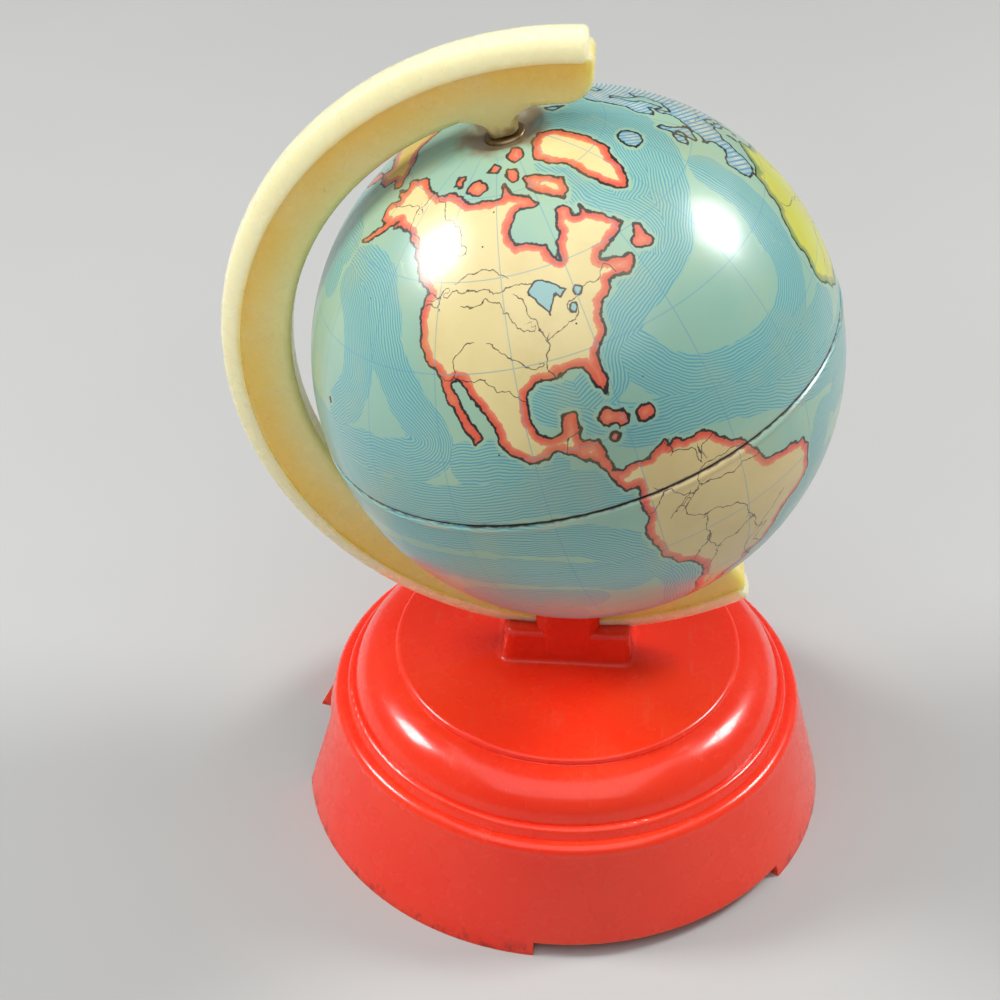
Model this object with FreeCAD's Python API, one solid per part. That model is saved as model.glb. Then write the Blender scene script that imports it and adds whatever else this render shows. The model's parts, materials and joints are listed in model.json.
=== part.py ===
import FreeCAD, Part
import math
import os
from FreeCAD import Rotation, Vector

# A small desk globe with a pencil sharpener in its base.
# Millimetres, +Z up. The origin is the middle of the base, on the surface it stands on.
# The arm lies in the XZ plane, with its back towards -X, where the sharpener's port is too.

# Globe: two pressed tin halves on a tilted polar axis
GLOBE_RADIUS = 32.5
GLOBE_HEIGHT = 70.5
TIN = 0.5
POLE_TILT = 17.0
SEAM_GAP = 0.15
SEAM_LIP = 2.0
SEAM_STEP = 0.9
SEAM_PLAY = 0.03
DISH_RADIUS = 5.0
DISH_FLOOR_RADIUS = 2.7
DISH_FLOOR = 31.35

# Eyelets in the pole holes and the pins that run in them
PIN_RADIUS = 1.0
PIN_CLEARANCE = 0.05
PIN_TIP = 29.4
EYELET_WALL = 0.35
EYELET_FLANGE = 2.5
EYELET_CLINCH = 2.2
EYELET_RIM = 0.4
EYELET_ROLL = 0.5
EYELET_CLINCH_HEIGHT = 0.44
EYELET_CLINCH_ROUND = 0.2
PIN_TIP_ROUND = 0.4
BOSS_ROOT_RADIUS = 4.6
BOSS_BEND = (2.35, 33.7)
BOSS_TIP_RADIUS = 1.8
BOSS_SHOULDER = 31.9
BOSS_SINK = 1.0

# Arm: a web on edge, bent round the globe, under a wider crowned flange that stops short of the web's ends
ARM_INNER = 35.0
ARM_SHOULDER = 41.0
ARM_OUTER = 43.75
FLANGE_HALF_WIDTH = 3.0
FLANGE_CROWN_HALF_WIDTH = 1.8
FLANGE_CROWN = 0.35
FLANGE_FULLNESS = 0.57
FLANGE_PAST_NORTH = 17.1
FLANGE_PAST_SOUTH = 16.0
FLANGE_END_ROUND = 0.8
WEB_HALF_WIDTH = 2.6
WEB_INNER_HALF_WIDTH = 1.9
WEB_OVERLAP = 0.5
WEB_PAST_NORTH = 18.2
WEB_PAST_SOUTH = 17.0
WEB_END_INNER_ROUND = 3.6
WEB_END_ROUND = 1.0

# Base: a tapered skirt, a domed upper tier and a flat top
RIM_RADIUS = 35.3
SKIRT_TOP_RADIUS = 31.6
SKIRT_TOP = 14.5
SHOULDER_RADIUS = 30.0
SHOULDER_HEIGHT = 16.0
SHOULDER_BEND = (31.15, 15.7)
RISER_TOP_RADIUS = 29.7
RISER_TOP = 16.8
LIP_RADIUS = 29.0
LIP_HEIGHT = 17.5
LIP_BEND = (29.45, 17.3)
DOME_FOOT = (28.7, 17.45)
DOME_BEND = (27.0, 20.9)
DOME_TOP_RADIUS = 23.2
DOME_TOP = 22.6
STEP_FOOT = (23.1, 22.7)
STEP_BEND = (22.92, 23.32)
TABLE_RADIUS = 22.3
TABLE = 23.5
WALL = 2.4
CEILING = 21.3
DOME_INSIDE_BEND = (25.0, 18.7)

# Clip on the base that holds the arm
BLOCK_LENGTH = 17.8
BLOCK_WIDTH = 10.4
BLOCK_TOP = 28.5
BLOCK_DRAFT = 0.6
BLOCK_CORNER = 1.5
BLOCK_FOOT = 0.8
CHEEK_TOP = 32.5
CHEEK_HALF_LENGTH = 4.2
CHEEK_FRONT_HALF_LENGTH = 2.8
CHEEK_SLANT = 1.6
CHEEK_ROUND = 0.8

# Openings in the skirt. The port and the sharpener behind it sit off centre, towards the back
PORT_OFFSET = 2.0
PORT_WIDTH = 14.6
PORT_HEIGHT = 12.2
PORT_CORNER = 0.6
FLARE = 1.3
FLARE_LENGTH = 7.0
FLARE_TOP = 12.5
FLARE_ROOT = 1.0
RELIEF_START = -4.0
RELIEF_END = 57.0
RELIEF_HEIGHT = 1.9

# Lid in the bottom of the base
LID_SEAT_RADIUS = 33.3
LID_TOP = 2.0
LID_BOTTOM = 0.5
LID_PLAY = 0.05
LID_EDGE = 0.4
SPIGOT_RADIUS = 31.4
SPIGOT_WALL = 1.4
SPIGOT_TOP = 3.6
SPIGOT_GAP_HALF_WIDTH = 9.4

# Sharpener: wedge block, blade and screw
BODY_MOUTH = -31.2
BODY_LENGTH = 23.8
BODY_BOTTOM = 2.1
BODY_TOP = 12.0
BODY_MOUTH_HALF_WIDTH = 7.1
BODY_END_HALF_WIDTH = 5.4
COLLAR_LENGTH = 3.8
BORE_HEIGHT = 7.0
BORE_RADIUS = 4.1
BORE_ENTRY = 3.5
BORE_TIP_RADIUS = 0.6
BORE_HALF_ANGLE = 11.5
SLANT_START = 10.0
BLADE_LENGTH = 18.5
BLADE_THICKNESS = 0.6
BLADE_EDGE = 0.3
BLADE_BACK = -5.3
BLADE_BEVEL = 1.2
BLADE_MARGIN = 0.4
SCREW_ALONG = 10.5
SCREW_ACROSS = -3.9
SCREW_RADIUS = 1.0
SCREW_LENGTH = 3.6
SCREW_HEAD_RADIUS = 1.9
SCREW_HEAD = 1.0
SCREW_SLOT = 0.5
SCREW_SLOT_DEPTH = 0.5
RIB = 1.5
RIB_BOTTOM = 2.3
RIB_START = 3.4

# Overrun of shapes that only cut or only trim
OVERRUN = 5.0

UP = Vector(0, 0, 1)
CENTRE = Vector(0, 0, GLOBE_HEIGHT)
TILT = Rotation(Vector(0, -1, 0), POLE_TILT)
ASIDE = Vector(0, PORT_OFFSET, 0)


def face_from(start, *steps):
    """A closed flat face. Each step is a point to go straight to, or a pair to curve through and to."""
    edges = []
    here = start
    for step in steps + (start,):
        if isinstance(step, tuple):
            edges.append(Part.Arc(here, step[0], step[1]).toShape())
            here = step[1]
        elif not step.isEqual(here, 1e-9):
            edges.append(Part.LineSegment(here, step).toShape())
            here = step
    return Part.Face(Part.Wire(edges))


def lathe(start, *steps):
    """A solid turned about Z from a half section given as (radius, height) points."""
    def spot(pair):
        return Vector(pair[0], 0, pair[1])

    def turn_step(step):
        if isinstance(step[0], tuple):
            return (spot(step[0]), spot(step[1]))
        return spot(step)

    face = face_from(spot(start), *[turn_step(step) for step in steps])
    return face.revolve(Vector(0, 0, 0), UP, 360)


def on_polar_axis(shape, flip=False):
    """Place a shape made about Z, with the globe's centre at its origin, on the tilted polar axis."""
    placed = shape.copy()
    if flip:
        placed.rotate(Vector(0, 0, 0), Vector(1, 0, 0), 180)
    placed.Placement = FreeCAD.Placement(CENTRE, TILT).multiply(placed.Placement)
    return placed


def box(low, high):
    size = Vector(*high) - Vector(*low)
    return Part.makeBox(size.x, size.y, size.z, Vector(*low))


def rounded_rectangle(length, width, corner, height):
    """A wire in a level plane, centred on Z."""
    x, y, c = length / 2, width / 2, corner
    cut = c * (1 - math.sqrt(0.5))
    points = []
    for sx, sy, first_along_x in ((1, 1, False), (-1, 1, True), (-1, -1, False), (1, -1, True)):
        along_x = Vector(sx * (x - c), sy * y, height)
        along_y = Vector(sx * x, sy * (y - c), height)
        middle = Vector(sx * (x - cut), sy * (y - cut), height)
        ends = (along_x, along_y) if first_along_x else (along_y, along_x)
        points.append((ends[0], middle, ends[1]))
    edges = []
    for index, (first, middle, last) in enumerate(points):
        edges.append(Part.Arc(first, middle, last).toShape())
        edges.append(Part.LineSegment(last, points[(index + 1) % 4][0]).toShape())
    return Part.Wire(edges)


def half_shell():
    """A tin half with a dished pole, made about Z, with the globe's centre at the origin."""
    outer, inner = GLOBE_RADIUS, GLOBE_RADIUS - TIN
    hole = PIN_RADIUS + PIN_CLEARANCE + EYELET_WALL
    dish_edge = math.sqrt(outer ** 2 - DISH_RADIUS ** 2)
    inner_edge = math.sqrt(inner ** 2 - DISH_RADIUS ** 2)
    half = math.radians(45)

    def on_circle(radius, angle):
        return (radius * math.cos(angle), radius * math.sin(angle))

    rim = SEAM_GAP / 2
    return lathe((outer, rim),
                 (on_circle(outer, half), (DISH_RADIUS, dish_edge)),
                 (DISH_FLOOR_RADIUS, DISH_FLOOR),
                 (hole, DISH_FLOOR),
                 (hole, DISH_FLOOR - TIN),
                 (DISH_FLOOR_RADIUS + TIN / 2, DISH_FLOOR - TIN),
                 (DISH_RADIUS, inner_edge),
                 (on_circle(inner, half), (inner, rim)))


def globe_north_shell():
    return on_polar_axis(half_shell())


def globe_south_shell():
    """Lower half. A stepped lip on its rim slips inside the upper half."""
    shell = half_shell()
    inner = GLOBE_RADIUS - TIN
    lip_outer = inner - SEAM_PLAY - 0.5 * SEAM_LIP ** 2 / inner
    lip_inner = lip_outer - TIN
    lip = lathe((inner + TIN / 2, SEAM_GAP / 2),
                (lip_outer, -SEAM_GAP / 2),
                (lip_outer, -SEAM_LIP),
                (lip_inner, -SEAM_LIP),
                (lip_inner, SEAM_STEP),
                (inner + TIN / 2, SEAM_STEP + TIN))
    return on_polar_axis(shell.fuse(lip).removeSplitter(), flip=True)


def eyelet(flip):
    """A grommet closed over the edge of the pole hole, whose bore is the bearing for the pin."""
    bore = PIN_RADIUS + PIN_CLEARANCE
    neck = bore + EYELET_WALL
    top = DISH_FLOOR + EYELET_RIM
    under = DISH_FLOOR - TIN
    clinch = under - EYELET_CLINCH_HEIGHT
    clinch_edge = EYELET_CLINCH - EYELET_CLINCH_ROUND
    roll = (EYELET_FLANGE - 0.3 * EYELET_ROLL, DISH_FLOOR + 0.75 * EYELET_RIM)
    shape = lathe((bore, clinch),
                  (clinch_edge, clinch),
                  ((EYELET_CLINCH, (clinch + under) / 2), (clinch_edge, under)),
                  (neck, under),
                  (neck, DISH_FLOOR),
                  (EYELET_FLANGE, DISH_FLOOR),
                  (roll, (EYELET_FLANGE - EYELET_ROLL, top)),
                  (bore, top))
    return on_polar_axis(shape, flip)


def arm_side(height):
    """Half the web's width at a distance from the globe's centre. Its sides carry on into the bosses."""
    slope = (WEB_HALF_WIDTH - WEB_INNER_HALF_WIDTH) / (ARM_SHOULDER - ARM_INNER)
    return WEB_INNER_HALF_WIDTH + slope * (height - ARM_INNER)


def bent(section, past_north, past_south):
    """A section swept round the globe from beyond one pole to beyond the other."""
    strip = section.revolve(Vector(0, 0, 0), Vector(0, -1, 0), 180 + past_north + past_south)
    strip.rotate(Vector(0, 0, 0), Vector(0, -1, 0), POLE_TILT - past_north)
    strip.translate(CENTRE)
    return strip


def mirrored(point):
    return Vector(point.x, -point.y, point.z)


def flange():
    side = Vector(0, FLANGE_HALF_WIDTH, ARM_SHOULDER)
    edge = Vector(0, FLANGE_CROWN_HALF_WIDTH, ARM_OUTER - FLANGE_CROWN)
    full = FLANGE_FULLNESS
    corner = Vector(0, edge.y + full * (side.y - edge.y), side.z + full * (edge.z - side.z))
    section = face_from(mirrored(side), side, (corner, edge), (Vector(0, 0, ARM_OUTER), mirrored(edge)),
                        (mirrored(corner), mirrored(side)))
    return bent(section, FLANGE_PAST_NORTH, FLANGE_PAST_SOUTH)


def web():
    top = ARM_SHOULDER + WEB_OVERLAP
    inner = Vector(0, WEB_INNER_HALF_WIDTH, ARM_INNER)
    outer = Vector(0, arm_side(top), top)
    return bent(face_from(mirrored(inner), inner, outer, mirrored(outer)), WEB_PAST_NORTH, WEB_PAST_SOUTH)


def round_ends(strip, past_north, past_south, radius, inner_edge):
    """Round either the inner edge of each end of a strip, or the other edges of its ends."""
    found = []
    for edge in strip.Edges:
        spots = [edge.valueAt(p) - CENTRE for p in (edge.FirstParameter, edge.LastParameter)]
        spots.append(edge.valueAt((edge.FirstParameter + edge.LastParameter) / 2) - CENTRE)
        is_inner = max(math.hypot(spot.x, spot.z) for spot in spots) < ARM_INNER + 0.01
        for end in (POLE_TILT - past_north, POLE_TILT + past_south + 180):
            across = Vector(math.cos(math.radians(end)), 0, math.sin(math.radians(end)))
            if is_inner == inner_edge and all(abs(spot.dot(across)) < 0.01 for spot in spots):
                found.append(edge)
    return strip.makeFillet(radius, found)


def boss():
    """Made about Z: a support that narrows from the arm to a pin, with its sides flush with the arm's."""
    root = ARM_INNER + BOSS_SINK
    flare_out = lathe((0, BOSS_SHOULDER),
                      (BOSS_TIP_RADIUS, BOSS_SHOULDER),
                      (BOSS_BEND, (BOSS_ROOT_RADIUS, ARM_INNER)),
                      (BOSS_ROOT_RADIUS, root),
                      (0, root))
    low, high = BOSS_SHOULDER - OVERRUN, root + OVERRUN
    half = BOSS_ROOT_RADIUS + OVERRUN
    between = face_from(Vector(-half, -arm_side(low), low), Vector(-half, arm_side(low), low),
                        Vector(-half, arm_side(high), high), Vector(-half, -arm_side(high), high))
    pin = lathe((0, PIN_TIP),
                (PIN_RADIUS - PIN_TIP_ROUND, PIN_TIP),
                (PIN_RADIUS, PIN_TIP + PIN_TIP_ROUND),
                (PIN_RADIUS, root),
                (0, root))
    return flare_out.common(between.extrude(Vector(2 * half, 0, 0))).fuse(pin)


def meridian_arm():
    """The arm, with a boss and a pin at each pole."""
    arm = round_ends(web(), WEB_PAST_NORTH, WEB_PAST_SOUTH, WEB_END_INNER_ROUND, True)
    arm = round_ends(arm, WEB_PAST_NORTH, WEB_PAST_SOUTH, WEB_END_ROUND, False)
    arm = arm.fuse(round_ends(flange(), FLANGE_PAST_NORTH, FLANGE_PAST_SOUTH, FLANGE_END_ROUND, False))
    for flip in (False, True):
        arm = arm.fuse(on_polar_axis(boss(), flip))
    return arm.removeSplitter()


def base_outline():
    """Outside of the base as (radius, height) steps, from its bottom edge to the middle of its top."""
    return [(RIM_RADIUS, 0),
            (SKIRT_TOP_RADIUS, SKIRT_TOP),
            (SHOULDER_BEND, (SHOULDER_RADIUS, SHOULDER_HEIGHT)),
            (RISER_TOP_RADIUS, RISER_TOP),
            (LIP_BEND, (LIP_RADIUS, LIP_HEIGHT)),
            DOME_FOOT,
            (DOME_BEND, (DOME_TOP_RADIUS, DOME_TOP)),
            STEP_FOOT,
            (STEP_BEND, (TABLE_RADIUS, TABLE)),
            (0, TABLE)]


def skirt_inside(height):
    return RIM_RADIUS - WALL - (RIM_RADIUS - SKIRT_TOP_RADIUS) * height / SKIRT_TOP


def hollow_base():
    return lathe((LID_SEAT_RADIUS, 0), *base_outline(),
                 (0, CEILING),
                 (DOME_TOP_RADIUS - WALL, CEILING),
                 (DOME_INSIDE_BEND, (LIP_RADIUS - WALL, LIP_HEIGHT - WALL)),
                 (skirt_inside(SKIRT_TOP - WALL), SKIRT_TOP - WALL),
                 (skirt_inside(LID_TOP), LID_TOP),
                 (LID_SEAT_RADIUS, LID_TOP))


def solid_base():
    return lathe((0, 0), *base_outline())


def clip():
    """Block with two cheeks on the top of the base, into which the arm is pressed."""
    sink = CEILING
    taper = 2 * BLOCK_DRAFT
    top = rounded_rectangle(BLOCK_LENGTH - taper, BLOCK_WIDTH - taper, BLOCK_CORNER, BLOCK_TOP)
    bottom = rounded_rectangle(BLOCK_LENGTH, BLOCK_WIDTH, BLOCK_CORNER, sink)
    shape = Part.makeLoft([bottom, top], True, True)
    upper = [edge for edge in shape.Edges if abs(edge.BoundBox.ZMin - BLOCK_TOP) < 1e-6]
    shape = shape.makeFillet(CHEEK_ROUND, upper)
    front = BLOCK_WIDTH / 2 - BLOCK_DRAFT / 2
    plan = [(CHEEK_HALF_LENGTH, 0),
            (CHEEK_HALF_LENGTH, front - CHEEK_SLANT),
            (CHEEK_FRONT_HALF_LENGTH, front),
            (-CHEEK_FRONT_HALF_LENGTH, front),
            (-CHEEK_HALF_LENGTH, front - CHEEK_SLANT),
            (-CHEEK_HALF_LENGTH, 0)]
    for side in (1, -1):
        outline = [Vector(x, side * y, sink) for x, y in plan]
        cheek = face_from(*outline).extrude(Vector(0, 0, CHEEK_TOP - sink))
        outside = [edge for edge in cheek.Edges
                   if abs(edge.BoundBox.ZMax - CHEEK_TOP) < 1e-6 and abs(edge.CenterOfMass.y) > 1e-6]
        shape = shape.fuse(cheek.makeFillet(CHEEK_ROUND, outside))
    return shape.removeSplitter()


def body_half_width(along):
    """Half width of the sharpener's body at a distance from its mouth."""
    return BODY_MOUTH_HALF_WIDTH + (BODY_END_HALF_WIDTH - BODY_MOUTH_HALF_WIDTH) * along / BODY_LENGTH


def sharpener_pocket():
    """Ribs under the top of the base that hold the sharpener's sides and its narrow end."""
    start, end = RIB_START, BODY_LENGTH
    tall = Vector(0, 0, TABLE - RIB_BOTTOM)
    ribs = None
    for side in (1, -1):
        corners = [(start, 0), (end, 0), (end, RIB), (start, RIB)]
        outline = [Vector(BODY_MOUTH + along, side * (body_half_width(along) + out), RIB_BOTTOM)
                   for along, out in corners]
        rib = face_from(*outline).extrude(tall)
        ribs = rib if ribs is None else ribs.fuse(rib)
    reach = BODY_END_HALF_WIDTH + RIB
    stop_start = BODY_MOUTH + BODY_LENGTH
    stop = box((stop_start, -reach, RIB_BOTTOM), (stop_start + RIB, reach, TABLE))
    roof = box((BODY_MOUTH + COLLAR_LENGTH / 2, -reach, BODY_TOP), (stop_start, reach, TABLE))
    hollow = box((BODY_MOUTH, -reach + RIB, BODY_TOP), (stop_start, reach - RIB, TABLE))
    pocket = ribs.fuse(stop).fuse(roof.cut(hollow))
    pocket.translate(ASIDE)
    return pocket.common(solid_base())


def port_cutter():
    half = PORT_WIDTH / 2
    low, high = -OVERRUN, PORT_HEIGHT
    inside, outside = BODY_MOUTH + RIB_START, -RIM_RADIUS - OVERRUN
    cut = PORT_CORNER * (1 - math.sqrt(0.5))

    def at(y, z):
        return Vector(outside, y, z) + ASIDE

    opening = face_from(at(-half, low), at(half, low), at(half, high - PORT_CORNER),
                        (at(half - cut, high - cut), at(half - PORT_CORNER, high)),
                        at(PORT_CORNER - half, high),
                        (at(cut - half, high - cut), at(-half, high - PORT_CORNER)))
    return opening.extrude(Vector(inside - outside, 0, 0))


def flare():
    """The skirt's corner beyond the port, which stands a little proud at the bottom edge."""
    side = PORT_OFFSET + PORT_WIDTH / 2

    def on_rim(along, out, height):
        radius = RIM_RADIUS - (RIM_RADIUS - SKIRT_TOP_RADIUS) * height / SKIRT_TOP
        turn = math.asin(side / radius) + along / radius
        return Vector(-(radius + out) * math.cos(turn), (radius + out) * math.sin(turn), height)

    corners = [on_rim(0, FLARE, 0), on_rim(0, -FLARE_ROOT, 0), on_rim(FLARE_LENGTH, -FLARE_ROOT, 0),
               on_rim(0, -FLARE_ROOT, FLARE_TOP)]
    sides = [face_from(*[corner for corner in corners if corner is not left_out]) for left_out in corners]
    return Part.Solid(Part.Shell(sides))


def relief_cutter():
    """A low sector of the bottom edge. Angles turn from the front, -Y, towards +X."""
    tall = RELIEF_HEIGHT + OVERRUN
    below = Vector(0, 0, -OVERRUN)
    ring = Part.makeCylinder(RIM_RADIUS + OVERRUN, tall, below, UP, RELIEF_END - RELIEF_START)
    ring.rotate(Vector(0, 0, 0), UP, RELIEF_START - 90)
    return ring.cut(Part.makeCylinder(LID_SEAT_RADIUS - LID_EDGE, tall, below))


def base_shell():
    shell = hollow_base().fuse([clip(), sharpener_pocket(), flare()]).removeSplitter()
    on_table = [edge for edge in shell.Edges
                if abs(edge.BoundBox.ZMin - TABLE) < 0.01 and abs(edge.BoundBox.ZMax - TABLE) < 0.01]
    foot = [edge for edge in on_table if edge.BoundBox.DiagonalLength < TABLE_RADIUS]
    shell = shell.makeFillet(BLOCK_FOOT, foot)
    shell = shell.cut([web(), flange(), port_cutter(), relief_cutter()])
    return shell.removeSplitter()


def bottom_lid():
    """Disc with a spigot ring that enters the base. The ring is open where the sharpener stands."""
    radius = LID_SEAT_RADIUS - LID_PLAY
    edge = LID_EDGE
    lid = lathe((0, LID_BOTTOM),
                (radius - edge, LID_BOTTOM),
                (radius, LID_BOTTOM + edge),
                (radius, LID_TOP),
                (SPIGOT_RADIUS, LID_TOP),
                (SPIGOT_RADIUS, SPIGOT_TOP - edge),
                (SPIGOT_RADIUS - edge, SPIGOT_TOP),
                (SPIGOT_RADIUS - SPIGOT_WALL, SPIGOT_TOP),
                (SPIGOT_RADIUS - SPIGOT_WALL, LID_TOP),
                (0, LID_TOP))
    gap_top = SPIGOT_TOP + OVERRUN
    gap = box((-RIM_RADIUS, -SPIGOT_GAP_HALF_WIDTH, LID_TOP), (0, SPIGOT_GAP_HALF_WIDTH, gap_top))
    gap.translate(ASIDE)
    return lid.cut(gap)


def on_slant(along, across, lift):
    """A point on the slanted face of the sharpener, or above it by lift."""
    angle = math.radians(BORE_HALF_ANGLE)
    start = Vector(BODY_MOUTH + COLLAR_LENGTH, across, SLANT_START) + ASIDE
    return start + Vector(math.cos(angle), 0, -math.sin(angle)) * along + slant_normal() * lift


def slant_normal():
    angle = math.radians(BORE_HALF_ANGLE)
    return Vector(math.sin(angle), 0, math.cos(angle))


def screw_hole(radius, depth):
    bottom = on_slant(SCREW_ALONG, SCREW_ACROSS, -depth)
    return Part.makeCylinder(radius, depth + OVERRUN, bottom, slant_normal())


def sharpener_body():
    """Wedge block with a tapered bore that breaks through its slanted face under the blade."""
    corners = [(0, 1), (BODY_LENGTH, 1), (BODY_LENGTH, -1), (0, -1)]
    plan = [Vector(BODY_MOUTH + along, side * body_half_width(along), BODY_BOTTOM) + ASIDE
            for along, side in corners]
    block = face_from(*plan).extrude(Vector(0, 0, BODY_TOP - BODY_BOTTOM))
    width = 2 * BODY_MOUTH_HALF_WIDTH
    above = face_from(on_slant(0, -width, 0), on_slant(BODY_LENGTH, -width, 0),
                      on_slant(BODY_LENGTH, -width, width), on_slant(0, -width, width))
    block = block.cut(above.extrude(Vector(0, 2 * width, 0)))
    along_x = Vector(1, 0, 0)
    mouth = Vector(BODY_MOUTH, 0, BORE_HEIGHT) + ASIDE
    taper_length = (BORE_RADIUS - BORE_TIP_RADIUS) / math.tan(math.radians(BORE_HALF_ANGLE))
    entry = Part.makeCylinder(BORE_RADIUS, BORE_ENTRY, mouth, along_x)
    taper = Part.makeCone(BORE_RADIUS, BORE_TIP_RADIUS, taper_length, mouth + along_x * BORE_ENTRY, along_x)
    vent = Part.makeCylinder(BORE_TIP_RADIUS, BODY_LENGTH, mouth, along_x)
    bore = entry.fuse(taper).fuse(vent)
    return block.cut(bore).cut(screw_hole(SCREW_RADIUS, SCREW_LENGTH)).removeSplitter()


def sharpener_blade():
    """Thin plate on the slanted face, bevelled along the edge that cuts."""
    start, end = BLADE_MARGIN, BLADE_MARGIN + BLADE_LENGTH
    section = face_from(on_slant(start, BLADE_EDGE, 0),
                        on_slant(start, BLADE_EDGE - BLADE_BEVEL, BLADE_THICKNESS),
                        on_slant(start, BLADE_BACK, BLADE_THICKNESS),
                        on_slant(start, BLADE_BACK, 0))
    plate = section.extrude(on_slant(end, 0, 0) - on_slant(start, 0, 0))
    return plate.cut(screw_hole(SCREW_RADIUS, SCREW_LENGTH))


def blade_screw():
    """Slotted cheese-head screw through the blade."""
    normal = slant_normal()
    head_base = on_slant(SCREW_ALONG, SCREW_ACROSS, BLADE_THICKNESS)
    shank = Part.makeCylinder(SCREW_RADIUS, SCREW_LENGTH + BLADE_THICKNESS,
                              head_base - normal * (SCREW_LENGTH + BLADE_THICKNESS), normal)
    head = Part.makeCylinder(SCREW_HEAD_RADIUS, SCREW_HEAD, head_base, normal)
    wide = SCREW_HEAD_RADIUS + OVERRUN
    slot_floor = SCREW_HEAD - SCREW_SLOT_DEPTH
    slot = box((-wide, -SCREW_SLOT / 2, slot_floor), (wide, SCREW_SLOT / 2, SCREW_HEAD + OVERRUN))
    slot.Placement = FreeCAD.Placement(head_base, Rotation(UP, normal))
    return shank.fuse(head).cut(slot).removeSplitter()


PIECES = {
    "base_shell": base_shell(),
    "bottom_lid": bottom_lid(),
    "sharpener_body": sharpener_body(),
    "sharpener_blade": sharpener_blade(),
    "blade_screw": blade_screw(),
    "meridian_arm": meridian_arm(),
    "globe_north_shell": globe_north_shell(),
    "globe_south_shell": globe_south_shell(),
    "north_eyelet": eyelet(False),
    "south_eyelet": eyelet(True),
}

os.makedirs("parts", exist_ok=True)
for name, shape in PIECES.items():
    solid = shape.Solids[0]
    print(name, len(shape.Solids), shape.isValid(), round(shape.Volume, 2), shape.BoundBox)
    solid.exportStep("parts/" + name + ".step")
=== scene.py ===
import json
import math
import random

import bpy
import numpy as np
from mathutils import Matrix, Vector
from mathutils.kdtree import KDTree


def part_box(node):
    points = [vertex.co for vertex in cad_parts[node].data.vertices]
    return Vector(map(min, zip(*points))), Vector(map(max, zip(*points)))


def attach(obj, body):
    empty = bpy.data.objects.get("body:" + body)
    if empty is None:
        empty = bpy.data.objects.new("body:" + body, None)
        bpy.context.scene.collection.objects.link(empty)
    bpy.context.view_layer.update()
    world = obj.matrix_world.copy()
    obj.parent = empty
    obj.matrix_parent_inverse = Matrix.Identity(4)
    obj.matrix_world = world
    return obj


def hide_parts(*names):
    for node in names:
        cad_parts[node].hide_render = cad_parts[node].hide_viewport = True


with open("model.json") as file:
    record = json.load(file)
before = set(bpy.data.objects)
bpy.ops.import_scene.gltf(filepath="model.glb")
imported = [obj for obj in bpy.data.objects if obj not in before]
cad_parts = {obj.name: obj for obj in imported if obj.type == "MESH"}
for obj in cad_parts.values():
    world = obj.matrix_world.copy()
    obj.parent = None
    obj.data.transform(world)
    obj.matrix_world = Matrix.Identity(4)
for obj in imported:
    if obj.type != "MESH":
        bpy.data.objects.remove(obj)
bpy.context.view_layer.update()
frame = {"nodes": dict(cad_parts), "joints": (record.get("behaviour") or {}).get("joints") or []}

# A small desk globe on a pencil sharpener base, in the CAD's frame.
# Lengths named here are in millimetres and angles in degrees, unless a comment says otherwise.

MM = 0.001
DEGREE = math.radians(1)
random.seed(11)

# The globe's centre and axes, in metres, and the radius of its ball
spin = frame["joints"][0]
GLOBE_CENTRE = Vector(spin["pos_m"])
POLE = Vector(spin["axis"]).normalized()
ACROSS = Vector((0, 1, 0))
GLOBE_AXES = Matrix((ACROSS.cross(POLE), ACROSS, POLE)).transposed()
GLOBE_PLACE = Matrix.Translation(GLOBE_CENTRE) @ GLOBE_AXES.to_4x4()
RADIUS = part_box("globe_north_shell")[1][1] / MM

# The tin halves
TIN = 0.5
SEAM_HALF_GAP = 0.08
ROLL_HEIGHT = 0.7
NORTH_ROLL = 0.2
SOUTH_ROLL = 0.35
BEAD = 0.16
BEAD_HEIGHT = 1.1
DISH_RADIUS = 5
DISH_FLOOR_RADIUS = 2.7
DISH_FLOOR = 31.35
POLE_HOLE = 1.4

# Their rings, which crowd together towards the rim, and the columns round them
RIM_HEIGHT = 2 * BEAD_HEIGHT
RIM_RINGS = 12
RIM_CROWDING = 1.5
RING_STEP = 0.45
DISH_RINGS = 8
INSIDE_RINGS = 15
COLUMNS = 448

# The print: how far it is turned round the globe, and the lines of its grid
PRINT_TURN = 6.2
FIRST_PARALLEL = 15
PARALLEL_STEP = 18
FIRST_MERIDIAN = -99
MERIDIAN_STEP = 20

# Its drawn lines: their shortest step in globe radii, and the share of a step that they stray
FINEST = 0.004
COAST_RAGGED = 0.12
INK_RAGGED = 0.2

# Currents: bundles of fine lines with cut corners, shared over layers that keep them apart
STREAM_LAYERS = ("stream_a", "stream_b", "stream_c")
STREAM_HALF_WIDTH = 2.7
STREAM_ROOM = 2.6 * STREAM_HALF_WIDTH
CORNER_CUTS = 4
CORNER_CUT = 0.25
SAMPLE_EVERY = 8


def colour(red, green, blue):
    """An sRGB colour, 0 to 255, as Blender's linear values."""
    def linear(value):
        value /= 255
        return value / 12.92 if value <= 0.04045 else ((value + 0.055) / 1.055) ** 2.4
    return (linear(red), linear(green), linear(blue), 1)


# The map

# Land and coastal band of each region, and which regions are hatched
HATCHED = ("blue",)
TINTS = {
    "buff": (colour(229, 211, 150), colour(222, 90, 64)),
    "tan": (colour(220, 196, 136), colour(222, 82, 54)),
    "coral": (colour(222, 108, 88), colour(220, 92, 70)),
    "lime": (colour(206, 208, 66), colour(118, 158, 62)),
    "blue": (colour(188, 202, 188), colour(140, 188, 192)),
    "amber": (colour(230, 196, 62), colour(206, 98, 44)),
    "white": (colour(226, 226, 206), colour(140, 178, 190)),
}

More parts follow.
